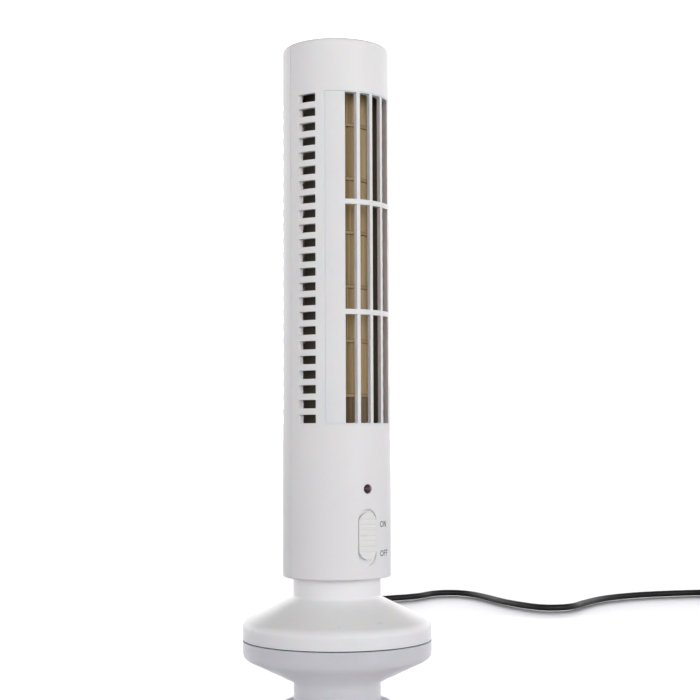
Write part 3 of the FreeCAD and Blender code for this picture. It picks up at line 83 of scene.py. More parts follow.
class Nodes:
    """Short names for building one material's node tree."""

    def __init__(self, name):
        self.material = bpy.data.materials.new(name)
        self.material.use_nodes = True
        self.tree = self.material.node_tree
        self.shader = self.tree.nodes["Principled BSDF"]
        self.place = self.tree.nodes.new("ShaderNodeTexCoord").outputs["Object"]

    def link(self, source, target):
        self.tree.links.new(source, target)

    def set(self, **values):
        """Sets sockets of the shader; the names use _ for a space."""
        for name, value in values.items():
            socket = self.shader.inputs[name.replace("_", " ")]
            is_colour = isinstance(value, tuple) and len(value) == 3 and socket.type == "RGBA"
            socket.default_value = (*value, 1.0) if is_colour else value

    def stretched(self, scale):
        node = self.tree.nodes.new("ShaderNodeMapping")
        node.inputs["Scale"].default_value = scale
        self.link(self.place, node.inputs["Vector"])
        return node.outputs["Vector"]

    def noise(self, scale, detail=3.0, roughness=0.5, place=None):
        node = self.tree.nodes.new("ShaderNodeTexNoise")
        node.inputs["Scale"].default_value = scale
        node.inputs["Detail"].default_value = detail
        node.inputs["Roughness"].default_value = roughness
        self.link(place or self.place, node.inputs["Vector"])
        return node.outputs["Fac"]

    def voronoi(self, scale):
        node = self.tree.nodes.new("ShaderNodeTexVoronoi")
        node.inputs["Scale"].default_value = scale
        self.link(self.place, node.inputs["Vector"])
        return node.outputs["Distance"]

    def ranged(self, value, low, high, start=0.3, end=0.7):
        node = self.tree.nodes.new("ShaderNodeMapRange")
        node.inputs["From Min"].default_value = start
        node.inputs["From Max"].default_value = end
        node.inputs["To Min"].default_value = low
        node.inputs["To Max"].default_value = high
        self.link(value, node.inputs["Value"])
        return node.outputs["Result"]

    def ramp(self, value, stops):
        node = self.tree.nodes.new("ShaderNodeValToRGB")
        elements = node.color_ramp.elements
        while len(elements) < len(stops):
            elements.new(0.5)
        for element, (at, colour) in zip(elements, stops):
            element.position = at
            element.color = (*colour, 1.0)
        self.link(value, node.inputs["Fac"])
        return node.outputs["Color"]

    def mix(self, share, first, second):
        node = self.tree.nodes.new("ShaderNodeMix")
        node.data_type = "RGBA"
        factor, colour_a, colour_b = (node.inputs[k] for k in (0, 6, 7))
        for socket, value in ((factor, share), (colour_a, first), (colour_b, second)):
            if isinstance(value, tuple):
                socket.default_value = (*value, 1.0)
            elif isinstance(value, float):
                socket.default_value = value
            else:
                self.link(value, socket)
        return node.outputs[2]

    def math(self, kind, first, second):
        node = self.tree.nodes.new("ShaderNodeMath")
        node.operation = kind
        for socket, value in zip(node.inputs, (first, second)):
            if isinstance(value, float):
                socket.default_value = value
            else:
                self.link(value, socket)
        return node.outputs[0]

    def bump(self, height, strength, distance, normal=None):
        node = self.tree.nodes.new("ShaderNodeBump")
        node.inputs["Strength"].default_value = strength
        node.inputs["Distance"].default_value = distance
        self.link(height, node.inputs["Height"])
        if normal is not None:
            self.link(normal, node.inputs["Normal"])
        return node.outputs["Normal"]

    def rounded(self, radius):
        node = self.tree.nodes.new("ShaderNodeBevel")
        node.samples = 6
        node.inputs["Radius"].default_value = radius
        return node.outputs["Normal"]


PLASTIC_GRAIN = 0.00003
PLASTIC_MOTTLE = 0.012
PLASTIC_GLOW_DEPTH = 0.0016


def moulded_plastic(name, colour, roughness, edge=0.0003, warm=(1.0, 1.0, 1.0), glow=0.0):
    """Injection-moulded plastic: a fine spark-eroded grain, faint flow mottling, softened edges, and
    as much light passing under the surface as glow says."""
    n = Nodes(name)
    flow = n.noise(35.0, 4.0, 0.55, n.stretched((1.0, 1.0, 0.35)))
    darker = tuple(c * (1 - PLASTIC_MOTTLE) for c in colour)
    lighter = tuple(c * (1 + PLASTIC_MOTTLE) * w for c, w in zip(colour, warm))
    n.link(n.ramp(flow, ((0.32, darker), (0.68, lighter))), n.shader.inputs["Base Color"])
    rub = n.noise(120.0, 5.0, 0.6)
    n.link(n.ranged(rub, roughness - 0.03, roughness + 0.04), n.shader.inputs["Roughness"])
    pits = n.noise(2600.0, 2.0, 0.6)
    swell = n.noise(90.0, 1.0, 0.4)
    fine = n.bump(pits, 0.5, PLASTIC_GRAIN, n.rounded(edge) if edge else None)
    n.link(n.bump(swell, 0.3, PLASTIC_GRAIN * 3, fine), n.shader.inputs["Normal"])
    n.set(Specular_IOR_Level=0.38, IOR=1.5, Subsurface_Weight=glow, Subsurface_Scale=PLASTIC_GLOW_DEPTH)
    return n.material


# The tan sections repeat upward from the second one, each on its own disc.
IMPELLER_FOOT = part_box("impeller_section_2")[0][2]
SECTION_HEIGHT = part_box("impeller_section_3")[0][2] - IMPELLER_FOOT
TAN_DARK = (0.36, 0.24, 0.105)
TAN = (0.42, 0.288, 0.132)
TAN_LIGHT = (0.47, 0.33, 0.16)
TAN_DUST = (0.55, 0.47, 0.36)
# Painted shade: the near-black of the lines along the disc joins, partly the join and partly painted shadow
# in the gap.
TAN_SEAM_SHADE = (0.10, 0.062, 0.026)


def rotor_plastic():
    """The tan impeller plastic: upright flow streaks, a little dust, and painted shade at the discs: thin
    dark lines along each join, partly the join itself and partly painted shadow in its gap, and each disc's
    rim band darkened a little.
    """
    n = Nodes("impeller_tan")
    streaks = n.noise(420.0, 3.0, 0.55, n.stretched((1.0, 1.0, 0.03)))
    streaked = n.ramp(streaks, ((0.3, TAN_DARK), (0.5, TAN), (0.72, TAN_LIGHT)))
    dust = n.noise(700.0, 4.0, 0.7)
    share = n.ranged(dust, 0.0, 0.12, 0.5, 0.75)
    split = n.tree.nodes.new("ShaderNodeSeparateXYZ")
    n.link(n.place, split.inputs[0])
    rise = n.math("MODULO", n.math("SUBTRACT", split.outputs["Z"], IMPELLER_FOOT), SECTION_HEIGHT)
    level = n.ranged(rise, 0.0, 1.0, 0.0, SECTION_HEIGHT)
    # Painted shade: dark lines above and below each disc and at each section's top, partly the join and
    # partly painted shadow, with the disc band itself darkened a little.
    clean, seam_shade, disc_shade = (0.0, 0.0, 0.0), (0.75, 0.75, 0.75), (0.12, 0.12, 0.12)
    joint_shade = n.ramp(level, (
        (0.0, seam_shade), (0.012, disc_shade), (0.048, disc_shade), (0.060, seam_shade), (0.072, clean), (0.985, clean), (1.0, seam_shade),
    ))
    dusty = n.mix(share, streaked, TAN_DUST)
    n.link(n.mix(joint_shade, dusty, TAN_SEAM_SHADE), n.shader.inputs["Base Color"])
    n.link(n.ranged(dust, 0.42, 0.6), n.shader.inputs["Roughness"])
    n.link(n.bump(n.noise(1800.0, 2.0), 0.4, 0.00003, n.rounded(0.00012)), n.shader.inputs["Normal"])
    return n.material


def metal(name, colour, roughness, stretch=(1.0, 1.0, 1.0), scale=900.0):
    """Bare or plated metal with fine brushing and uneven polish."""
    n = Nodes(name)
    brush = n.noise(scale, 4.0, 0.6, n.stretched(stretch))
    tint = tuple(c * 0.82 for c in colour)
    n.link(n.ramp(brush, ((0.3, tint), (0.7, colour))), n.shader.inputs["Base Color"])
    n.link(n.ranged(brush, roughness * 0.8, roughness * 1.25), n.shader.inputs["Roughness"])
    n.link(n.bump(brush, 0.25, 0.00002, n.rounded(0.00015)), n.shader.inputs["Normal"])
    n.set(Metallic=1.0)
    return n.material


def soft_black(name, colour, roughness, grain_scale, grain, coat=0.0, shine=0.5):
    """Black rubber or PVC: fine pores, scuffs that turn it greyer, and a dull sheen."""
    n = Nodes(name)
    scuffs = n.noise(160.0, 5.0, 0.65)
    worn = tuple(c * 1.9 + 0.004 for c in colour)
    n.link(n.ramp(scuffs, ((0.42, colour), (0.8, worn))), n.shader.inputs["Base Color"])
    n.link(n.ranged(scuffs, roughness - 0.05, roughness + 0.1), n.shader.inputs["Roughness"])
    n.link(n.bump(n.noise(grain_scale, 3.0, 0.6), 0.5, grain), n.shader.inputs["Normal"])
    n.set(Coat_Weight=coat, Coat_Roughness=0.35, Specular_IOR_Level=shine)
    return n.material


# The lamp's colours from its middle out to its rim; the paler side and rim colours are a painted sheen.
LAMP_MIDDLE = (0.050, 0.020, 0.025)
LAMP_SIDE_SHEEN = (0.10, 0.055, 0.063)
LAMP_RIM_SHEEN = (0.22, 0.17, 0.18)
LAMP_CLOUD = (0.12, 0.012, 0.024)


def lamp_red():
    """The unlit lamp: dark red epoxy, deepest in the middle, with a painted sheen that makes it paler towards
    the rim as its face turns away.
    """
    n = Nodes("lamp_red")
    layer = n.tree.nodes.new("ShaderNodeLayerWeight")
    layer.inputs["Blend"].default_value = 0.45
    # Painted sheen: the colour turns paler where the surface faces away.
    facing_sheen = n.ramp(layer.outputs["Facing"], ((0.0, LAMP_MIDDLE), (0.55, LAMP_SIDE_SHEEN), (1.0, LAMP_RIM_SHEEN)))
    cloud = n.noise(500.0, 2.0)
    n.link(n.mix(n.ranged(cloud, 0.0, 0.25), facing_sheen, LAMP_CLOUD), n.shader.inputs["Base Color"])
    n.link(n.ranged(n.noise(900.0), 0.06, 0.12), n.shader.inputs["Roughness"])
    n.set(Transmission_Weight=0.2, IOR=1.45, Coat_Weight=0.1, Coat_Roughness=0.05)
    return n.material


def circuit_board():
    """Green board with its glass weave just showing."""
    n = Nodes("board_green")
    weave = n.voronoi(1400.0)
    greens = n.ramp(weave, ((0.1, (0.02, 0.13, 0.05)), (0.7, (0.04, 0.22, 0.09))))
    n.link(greens, n.shader.inputs["Base Color"])
    n.link(n.ranged(n.noise(300.0), 0.25, 0.4), n.shader.inputs["Roughness"])
    n.link(n.bump(weave, 0.2, 0.00003), n.shader.inputs["Normal"])
    return n.material


def copper_winding():
    """Enamelled wire: fine turns side by side along the armature."""
    n = Nodes("copper_winding")
    wave = n.tree.nodes.new("ShaderNodeTexWave")
    wave.bands_direction = "Z"
    wave.inputs["Scale"].default_value = 900.0
    wave.inputs["Distortion"].default_value = 1.5
    n.link(n.place, wave.inputs["Vector"])
    turns = n.ramp(wave.outputs["Fac"], ((0.1, (0.30, 0.09, 0.03)), (0.8, (0.72, 0.29, 0.12))))
    n.link(turns, n.shader.inputs["Base Color"])
    n.link(n.ranged(wave.outputs["Fac"], 0.5, 0.3, 0.0, 1.0), n.shader.inputs["Roughness"])
    n.link(n.bump(wave.outputs["Fac"], 0.6, 0.0001), n.shader.inputs["Normal"])
    n.set(Metallic=0.8)
    return n.material


MATERIALS = {
    "shell_white": moulded_plastic(
        "shell_white", (0.800, 0.787, 0.790), 0.38, warm=(1.0, 0.998, 0.994), glow=0.3),
    "grille_white": moulded_plastic("grille_white", (0.785, 0.776, 0.780), 0.40, edge=0.0001, glow=0.4),
    "base_white": moulded_plastic("base_white", (0.845, 0.836, 0.840), 0.30, glow=0.3),
    "knob_white": moulded_plastic("knob_white", (0.800, 0.792, 0.775), 0.42, edge=0.0002),
    "guide_plastic": moulded_plastic("guide_plastic", (0.080, 0.066, 0.042), 0.55, edge=0.0),
    "impeller_tan": rotor_plastic(),
    "steel": metal("steel", (0.62, 0.62, 0.63), 0.30, (1.0, 1.0, 0.08)),
    "weight_steel": metal("weight_steel", (0.40, 0.40, 0.41), 0.48),
    "brass": metal("brass", (0.80, 0.60, 0.28), 0.32),
    "magnet": metal("magnet", (0.10, 0.10, 0.105), 0.55),
    "copper_winding": copper_winding(),
    "black_plastic": soft_black("black_plastic", (0.020, 0.020, 0.021), 0.42, 2200.0, 0.00003),
    "black_rubber": soft_black("black_rubber", (0.018, 0.018, 0.018), 0.62, 1500.0, 0.00005),
    "cord_black": soft_black(
        "cord_black", (0.009, 0.008, 0.008), 0.40, 2400.0, 0.00003, coat=0.05, shine=0.28),
    "lamp_red": lamp_red(),
    "board_green": circuit_board(),
    "plug_metal": metal("plug_metal", (0.74, 0.74, 0.75), 0.24, (1.0, 1.0, 0.2), 1400.0),
    "plug_tongue": moulded_plastic("plug_tongue", (0.66, 0.66, 0.64), 0.45, edge=0.0),
}


def marking_ink():
    """Grey printed ink, a little uneven as pad printing is."""
    n = Nodes("marking_ink")
    patches = n.noise(3000.0, 3.0, 0.6)
    greys = n.ramp(patches, ((0.3, (0.055, 0.055, 0.058)), (0.75, (0.11, 0.11, 0.113))))
    n.link(greys, n.shader.inputs["Base Color"])
    n.link(n.ranged(patches, 0.45, 0.6), n.shader.inputs["Roughness"])
    n.link(n.bump(patches, 0.3, 0.00001), n.shader.inputs["Normal"])
    return n.material


def gold_contact():
    """Gilt plating with fine rub marks."""
    n = Nodes("gold_contact")
    rub = n.noise(1600.0, 4.0, 0.6)
    n.link(n.ramp(rub, ((0.3, (0.72, 0.50, 0.20)), (0.7, (0.90, 0.68, 0.32)))), n.shader.inputs["Base Color"])
    n.link(n.ranged(rub, 0.18, 0.32), n.shader.inputs["Roughness"])
    n.set(Metallic=1.0)
    return n.material


def dress_nodes():
    """Every CAD node takes the material of its slot, which its packed material is named after."""
    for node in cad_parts.values():
        slot = node.data.materials[0].name.split(".")[0]
        for place in node.material_slots:
            place.material = MATERIALS[slot]


dress_nodes()

# ---------------------------------------------------------------- shared mesh helpers


def new_object(name, vertices, faces, material, smooth=True):
    mesh = bpy.data.meshes.new(name)
    mesh.from_pydata([tuple(v) for v in vertices], [], faces)
    mesh.validate()
    mesh.update()
    if smooth:
        mesh.shade_smooth()
    item = bpy.data.objects.new(name, mesh)
    bpy.context.scene.collection.objects.link(item)
    mesh.materials.append(material)
    return item


def quad_between(row, i, count):
    """The face between points i and i + 1 of one ring and the same two of the next."""
    j = (i + 1) % count
    return (row * count + i, row * count + j, (row + 1) * count + j, (row + 1) * count + i)


def loft(rings, closed_ends=True):
    """Vertices and faces of a surface through rings of points, each ring closed on itself."""
    count = len(rings[0])
    vertices = [point for ring in rings for point in ring]
    faces = [quad_between(row, i, count) for row in range(len(rings) - 1) for i in range(count)]
    if closed_ends:
        faces.append(tuple(reversed(range(count))))
        faces.append(tuple((len(rings) - 1) * count + i for i in range(count)))
    return vertices, faces


def outward(item):
    """Turns every face outward."""
    work = bmesh.new()
    work.from_mesh(item.data)
    bmesh.ops.recalc_face_normals(work, faces=work.faces)
    work.to_mesh(item.data)
    work.free()
    return item


# ---------------------------------------------------------------- cord

CORD_DIAMETER = 0.004
COIL_MIDDLE = (338.0, -8.0)
COIL_START = 60.0
COIL_END = -80.0 - 3 * 360.0
COIL_POINTS = 54
COIL_OUTER = 24.2
COIL_INNER = 20.1
LOWER_LAYER = 2.05
UPPER_LAYER = 6.1
# A quadratic spline runs inside the circle of its control points by this share.
COIL_SHRINK = 0.981
# Where the turns move inward, back outward and up to the second layer, counted in turns.
TURNS_INWARD = (0.78, 0.98)
TURNS_OUTWARD = (2.42, 2.62)
TURNS_UPWARD = (1.58, 1.78)

CORD_ROUTE = (
    (0.0, 64.0, 4.7), (2.0, 75.0, 4.4), (12.0, 88.0, 2.5), (31.0, 98.5, 2.05), (60.0, 108.0, 2.05),
    (92.0, 122.0, 2.05), (123.0, 128.0, 2.05), (149.0, 124.0, 2.05), (175.0, 136.0, 2.05),
    (191.0, 124.0, 2.05), (186.0, 95.0, 2.05), (177.0, 66.0, 2.05), (174.0, 43.0, 2.05),
    (175.0, 24.0, 2.05), (192.0, 17.0, 2.05), (214.0, 29.0, 2.05), (245.0, 42.0, 2.05),
    (281.0, 43.0, 2.05), (319.0, 30.5, 2.05),
)
CORD_TAIL = ((330.5, -34.4, 5.3), (322.0, -35.0, 4.2), (316.6, -36.1, 4.0))


def ease(value, start, end):
    """0 before start, 1 after end, and a smooth step between."""
    share = min(1.0, max(0.0, (value - start) / (end - start)))
    return share * share * (3 - 2 * share)


def coil_points():
    """The put-away turns: out and in on the table, then in and out on top of them."""
    points = []
    for number in range(COIL_POINTS + 1):
        angle = COIL_START + (COIL_END - COIL_START) * number / COIL_POINTS
        turns = (COIL_START - angle) / 360.0
        inward = ease(turns, *TURNS_INWARD) - ease(turns, *TURNS_OUTWARD)
        radius = (COIL_OUTER + (COIL_INNER - COIL_OUTER) * inward) / COIL_SHRINK
        height = LOWER_LAYER + (UPPER_LAYER - LOWER_LAYER) * ease(turns, *TURNS_UPWARD)
        points.append((
            COIL_MIDDLE[0] + radius * math.cos(math.radians(angle)),
            COIL_MIDDLE[1] + radius * math.sin(math.radians(angle)),
            height,
        ))
    return points


def make_cord():
    """One smooth line from the gland across the table into the coil and on to the plug."""
    curve = bpy.data.curves.new("usb_cord", "CURVE")
    curve.dimensions = "3D"
    curve.resolution_u = 8
    curve.bevel_depth = CORD_DIAMETER / 2
    curve.bevel_resolution = 5
    curve.use_fill_caps = True
    points = [*CORD_ROUTE, *coil_points(), *CORD_TAIL]
    spline = curve.splines.new("NURBS")
    spline.points.add(len(points) - 1)
    for point, place in zip(spline.points, points):
        point.co = (place[0] * MM, place[1] * MM, place[2] * MM, 1.0)
    spline.order_u = 3
    spline.use_endpoint_u = True
    spline.use_smooth = True
    cord = bpy.data.objects.new("usb_cord", curve)
    bpy.context.scene.collection.objects.link(cord)
    curve.materials.append(MATERIALS["cord_black"])
    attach(cord, "tower")
    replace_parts(cord, "power_cord", "cord_coil", "cord_tail")
    return cord


# The strain relief's outline as (distance back, radius) in millimetres: the grommet, then ribs, then the tip.
GROMMET = (
    (47.7, 2.02), (47.7, 2.9), (47.9, 3.4), (48.6, 3.5), (49.2, 3.5), (49.3, 2.65), (52.2, 2.65),
    (52.35, 3.3), (52.6, 3.5), (53.5, 3.5), (53.8, 3.3), (54.0, 2.95),
)
GLAND_TIP = ((63.1, 2.45), (63.7, 2.40), (64.0, 2.2), (64.0, 2.02))
RIBS = 6
RIBS_START = 54.2
RIBS_END = 63.0
RIB_RADIUS = 3.0
RIB_TAPER = 0.55
RIB_DEPTH = 0.42
GLAND_SIDES = 40


def make_gland():
    """The grommet and tapered strain relief at the back of the base, ribbed so that it bends."""
    profile = list(GROMMET)
    pitch = (RIBS_END - RIBS_START) / RIBS
    for rib in range(RIBS):
        y = RIBS_START + rib * pitch
        tall = RIB_RADIUS - RIB_TAPER * rib / RIBS
        profile += [
            (y, tall - RIB_DEPTH), (y + 0.30 * pitch, tall - RIB_DEPTH),
            (y + 0.36 * pitch, tall), (y + 0.94 * pitch, tall - 0.04),
        ]
    profile += GLAND_TIP
    low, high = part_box("cord_gland")
    middle = (low.z + high.z) / 2 / MM
    angles = [turn * math.tau / GLAND_SIDES for turn in range(GLAND_SIDES)]
    rings = [
        [Vector((radius * math.cos(a), y, middle + radius * math.sin(a))) * MM for a in angles]
        for y, radius in profile
    ]
    gland = outward(new_object("strain_relief", *loft(rings), MATERIALS["black_rubber"]))
    soften = gland.modifiers.new("soften", "BEVEL")
    soften.width = 0.00012
    soften.segments = 2
    soften.limit_method = "ANGLE"
    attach(gland, "tower")
    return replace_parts(gland, "cord_gland")


# ---------------------------------------------------------------- plug

PLUG_START = Vector((317.6, -36.0, 4.0)) * MM
PLUG_ALONG = Vector((-24.6, -4.4, 0.0)).normalized()
PLUG_ACROSS = Vector((PLUG_ALONG.y, -PLUG_ALONG.x, 0.0))
PLUG_UP = Vector((0.0, 0.0, 1.0))


def on_plug(across, along, up):
    """A point in the plug's own directions, in millimetres from where the cord goes in."""
    return PLUG_START + (PLUG_ACROSS * across + PLUG_ALONG * along + PLUG_UP * up) * MM


def super_ring(along, half_width, half_height, power, count=56):
    """A rounded-rectangle ring of points across the plug."""
    ring = []
    for i in range(count):
        angle = math.tau * i / count
        c, s = math.cos(angle), math.sin(angle)
        ring.append(on_plug(
            half_width * math.copysign(abs(c) ** (2 / power), c), along,
            half_height * math.copysign(abs(s) ** (2 / power), s),
        ))
    return ring


# Stations along the plug's grip: distance, half width, half height, and how square the ring is.
GRIP_BOOT = (
    (0.0, 2.35, 2.35, 2.0), (0.2, 2.7, 2.7, 2.0), (1.6, 2.8, 2.75, 2.0), (3.4, 3.1, 2.95, 2.1),
    (4.6, 4.0, 3.15, 2.4), (5.6, 5.6, 3.5, 3.0), (6.6, 6.9, 3.8, 3.8), (7.8, 7.6, 3.95, 4.6),
)
GRIP_END = ((19.4, 7.8, 4.0, 5.0), (22.9, 7.7, 3.95, 5.0), (23.6, 7.4, 3.7, 5.0), (23.95, 6.9, 3.2, 5.0))
GRIP_SQUARENESS = 5.0
GROOVES = 5
GROOVES_START = 9.0
GROOVE_PITCH = 1.9


def make_plug_grip():
    """The moulded grip: a short boot round the cord, a flared shoulder, and finger ridges."""
    outer, inner = (7.78, 3.98, GRIP_SQUARENESS), (7.5, 3.7, GRIP_SQUARENESS)
    stations = list(GRIP_BOOT)
    for groove in range(GROOVES):
        s = GROOVES_START + groove * GROOVE_PITCH
        stations += [(s, *outer), (s + 0.25, *inner), (s + 0.95, *inner), (s + 1.2, *outer)]
    stations += GRIP_END
    rings = [super_ring(*station) for station in stations]
    grip = outward(new_object("plug_grip", *loft(rings), MATERIALS["black_plastic"]))
    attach(grip, "tower")
    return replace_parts(grip, "usb_plug_grip")


SLEEVE_HALF_WIDTH = 6.0
SLEEVE_HALF_HEIGHT = 2.25
SLEEVE_CORNER = 0.55
SLEEVE_WINDOW = (1.7, 3.9)
# Distances along the sleeve: its foot, the windows' two ends, the start of the turned-in lip, and the mouth.
SLEEVE_ROWS = (23.95, 31.2, 33.7, 42.0, 42.8)
WINDOW_ROW = 1
MOUTH_ROW = 4
MOUTH_SHRINK = (0.985, 0.97)


def sleeve_outline():
    """The sleeve's section as (across, up, whether the point is on a flat that has windows)."""
    width, height, corner = SLEEVE_HALF_WIDTH, SLEEVE_HALF_HEIGHT, SLEEVE_CORNER
    near, far = SLEEVE_WINDOW
    across = [-width + corner, -far, -near, near, far, width - corner]
    bends = [(corner * (1 - math.sin(a)), corner * (1 - math.cos(a))) for a in (0.52, 1.05)]
    outline = [(x, height, True) for x in across]
    outline += [(width - p, height - q, False) for p, q in bends]
    outline += [(width, height - corner, False), (width, -height + corner, False)]
    outline += [(width - q, -height + p, False) for p, q in bends]
    outline += [(x, -height, True) for x in reversed(across)]
    outline += [(-width + p, -height + q, False) for p, q in bends]
    outline += [(-width, -height + corner, False), (-width, height - corner, False)]
    outline += [(-width + q, height - p, False) for p, q in bends]
    return outline


def make_plug_shell():
    """The folded metal sleeve, with its two square windows above and below."""
    outline = sleeve_outline()
    vertices = []
    for row, along in enumerate(SLEEVE_ROWS):
        wide, high = MOUTH_SHRINK if row == MOUTH_ROW else (1.0, 1.0)
        vertices += [on_plug(x * wide, along, z * high) for x, z, _ in outline]
    near, far = SLEEVE_WINDOW
    count = len(outline)
    faces = []
    for row in range(len(SLEEVE_ROWS) - 1):
        for i in range(count):
            here, beyond = outline[i], outline[(i + 1) % count]
            spans_window = {round(here[0], 1), round(beyond[0], 1)} in ({-far, -near}, {near, far})
            if row == WINDOW_ROW and spans_window and here[2] and beyond[2]:
                continue
            faces.append(quad_between(row, i, count))
    shell = outward(new_object("plug_shell", vertices, faces, MATERIALS["plug_metal"], smooth=False))
    thick = shell.modifiers.new("thickness", "SOLIDIFY")
    thick.thickness = 0.0003
    thick.offset = -1
    edge = shell.modifiers.new("edge", "BEVEL")
    edge.width = 0.00006
    edge.segments = 2
    edge.limit_method = "ANGLE"
    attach(shell, "tower")
    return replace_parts(shell, "usb_plug_shell")


# Each contact's place across the plug, and how far it stops short; then its gap to the tongue.
CONTACTS = ((-3.5, 0.6), (-1.0, 1.6), (1.0, 1.6), (3.5, 0.6))
CONTACT_GAP = 0.06


def make_contacts():
    """Four gilt contacts lying on the plug's tongue."""
    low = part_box("usb_plug_tongue")[0]
    level = (low.z - PLUG_START.z) / MM
    vertices, faces = [], []
    for x, short in CONTACTS:
        base = len(vertices)
        for along, rise in ((24.5, 0.0), (41.4 - short, 0.0), (41.9 - short, CONTACT_GAP)):
            for side in (-0.5, 0.5):
                vertices.append(on_plug(x + side, along, level - CONTACT_GAP + rise))
        faces += [(base, base + 1, base + 3, base + 2), (base + 2, base + 3, base + 5, base + 4)]
    contacts = new_object("plug_contacts", vertices, faces, gold_contact(), smooth=False)
    thick = contacts.modifiers.new("thickness", "SOLIDIFY")
    thick.thickness = 0.00012
    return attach(contacts, "tower")


TIE_RADIUS = 22.15
TIE_MIDDLE = 4.1
TIE_HALF_ACROSS = 4.35
TIE_HALF_HIGH = 4.05
TIE_CORNER = 1.7
# Rings along the strap: its offset from the middle, and how far its rounded edge draws in.
TIE_RINGS = ((-2.6, 0.12), (-2.45, 0.0), (2.45, 0.0), (2.6, 0.12))
TIE_THICKNESS = 0.0005


def make_tie(name, angle):
    """A flat rubber strap closed round the coil's bundle of turns."""
    turn = math.radians(angle)
    radial = Vector((math.cos(turn), math.sin(turn), 0.0))
    along = Vector((-math.sin(turn), math.cos(turn), 0.0))
    section = []
    for sx, sz, start in ((1, 1, 0.0), (-1, 1, 90.0), (-1, -1, 180.0), (1, -1, 270.0)):
        for step in range(6):
            a = math.radians(start + 18.0 * step)
            section.append((
                sx * (TIE_HALF_ACROSS - TIE_CORNER) + TIE_CORNER * math.cos(a),
                sz * (TIE_HALF_HIGH - TIE_CORNER) + TIE_CORNER * math.sin(a),
            ))
    middle = Vector((*COIL_MIDDLE, TIE_MIDDLE))
    rings = []
    for offset, draw in TIE_RINGS:
        share = 1 - draw / TIE_HALF_ACROSS
        rings.append([
            (middle + radial * (TIE_RADIUS + x * share) + along * offset + Vector((0, 0, z * share))) * MM
            for x, z in section
        ])
    tie = outward(new_object(name, *loft(rings, closed_ends=False), MATERIALS["black_rubber"]))
    thick = tie.modifiers.new("thickness", "SOLIDIFY")
    thick.thickness = TIE_THICKNESS
    thick.offset = -1
    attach(tie, "tower")
    return tie


cord = make_cord()
gland = make_gland()
grip = make_plug_grip()
shell = make_plug_shell()
contacts = make_contacts()
ties = [make_tie("coil_tie_a", 172.0), make_tie("coil_tie_b", 8.0)]

# ---------------------------------------------------------------- markings beside the switch

INK_RADIUS = 30.02
INK_HEIGHT = 3.3
INK_STROKE = 0.52
INK_STEP = 0.4
LETTER_GAP = 0.42
ROUND_SIDES = 28
WORDS_ANGLE = 17.4


def stroke(points, closed=False):
    """Quads of a ribbon along points in the flat, cut short enough to bend round the body."""
    fine = []
    pairs = list(zip(points, points[1:] + points[:1] if closed else points[1:]))
    for (x0, y0), (x1, y1) in pairs:
        cuts = max(1, int(math.hypot(x1 - x0, y1 - y0) / INK_STEP))
        fine += [(x0 + (x1 - x0) * k / cuts, y0 + (y1 - y0) * k / cuts) for k in range(cuts)]
    if not closed:
        fine.append(points[-1])
    quads = []
    for k in range(len(fine) if closed else len(fine) - 1):
        (x0, y0), (x1, y1) = fine[k], fine[(k + 1) % len(fine)]
        length = math.hypot(x1 - x0, y1 - y0)
        ox, oy = -(y1 - y0) / length * INK_STROKE / 2, (x1 - x0) / length * INK_STROKE / 2
        quads.append(((x0 + ox, y0 + oy), (x0 - ox, y0 - oy), (x1 - ox, y1 - oy), (x1 + ox, y1 + oy)))
    return quads


def letter(kind, left, width):
    """The quads of an O, an N or an F that stands at left."""
    h = INK_HEIGHT
    if kind == "O":
        turns = [k * math.tau / ROUND_SIDES for k in range(ROUND_SIDES)]
        half_wide, half_high = (width - INK_STROKE) / 2, (h - INK_STROKE) / 2
        ring = [(left + width / 2 + half_wide * math.cos(a), h / 2 + half_high * math.sin(a)) for a in turns]
        return stroke(ring, closed=True)
    inset = INK_STROKE / 2
    first, last = left + inset, left + width - inset
    stem = stroke([(first, 0.0), (first, h)])
    if kind == "N":
        return stem + stroke([(first, h - 0.1), (last, 0.1)]) + stroke([(last, 0.0), (last, h)])
    bars = stroke([(left, h - inset), (left + width, h - inset)])
    return stem + bars + stroke([(left, h * 0.52), (left + width * 0.86, h * 0.52)])


def make_marking(name, letters, height):
    """One of the generic words for on and off, printed on the body beside the switch."""
    vertices, faces = [], []
    left = 0.0
    for kind, width in letters:
        for quad in letter(kind, left, width):
            base = len(vertices)
            for x, y in quad:
                angle = math.radians(WORDS_ANGLE) + x / INK_RADIUS
                across, out = INK_RADIUS * math.sin(angle), -INK_RADIUS * math.cos(angle)
                vertices.append(Vector((across, out, height - INK_HEIGHT / 2 + y)) * MM)
            faces.append((base, base + 1, base + 2, base + 3))
        left += width + LETTER_GAP
    marking = new_object(name, vertices, faces, INK)
    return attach(marking, "tower")


INK = marking_ink()
make_marking("marking_on", (("O", 3.3), ("N", 2.6)), 63.8)
make_marking("marking_off", (("O", 3.3), ("F", 2.0), ("F", 2.0)), 48.0)

# ---------------------------------------------------------------- floor, world and lights


# The photograph's line of sight and the line across it, on the table.
SIGHT = (0.566, 0.824, 0.0)
ACROSS = (0.824, -0.566, 0.0)
# The table is polished round this place in front of the fan and matt beyond it, over these distances.
POLISHED_MIDDLE = (-0.05, -0.074, 0.0)
POLISH_FADES_BEHIND = (0.02, 0.10)
POLISH_FADES_AWAY = (0.13, 0.30)
# The polished patch's colours are darker and bluer than the matt table: partly the patch's own tone and
# partly a painted reflection tone for the mirrored fan.
POLISHED_REFLECTION_TONES = ((0.51, 0.505, 0.585), (0.52, 0.515, 0.595))
MATT_COLOUR = (0.72, 0.72, 0.735)
POLISHED_ROUGHNESS = 0.026
MATT_ROUGHNESS = 0.30
FLOOR_LEVEL = -0.0001
FLOOR_RADII = (0.5, 60.0)
FLOOR_SIDES = 96


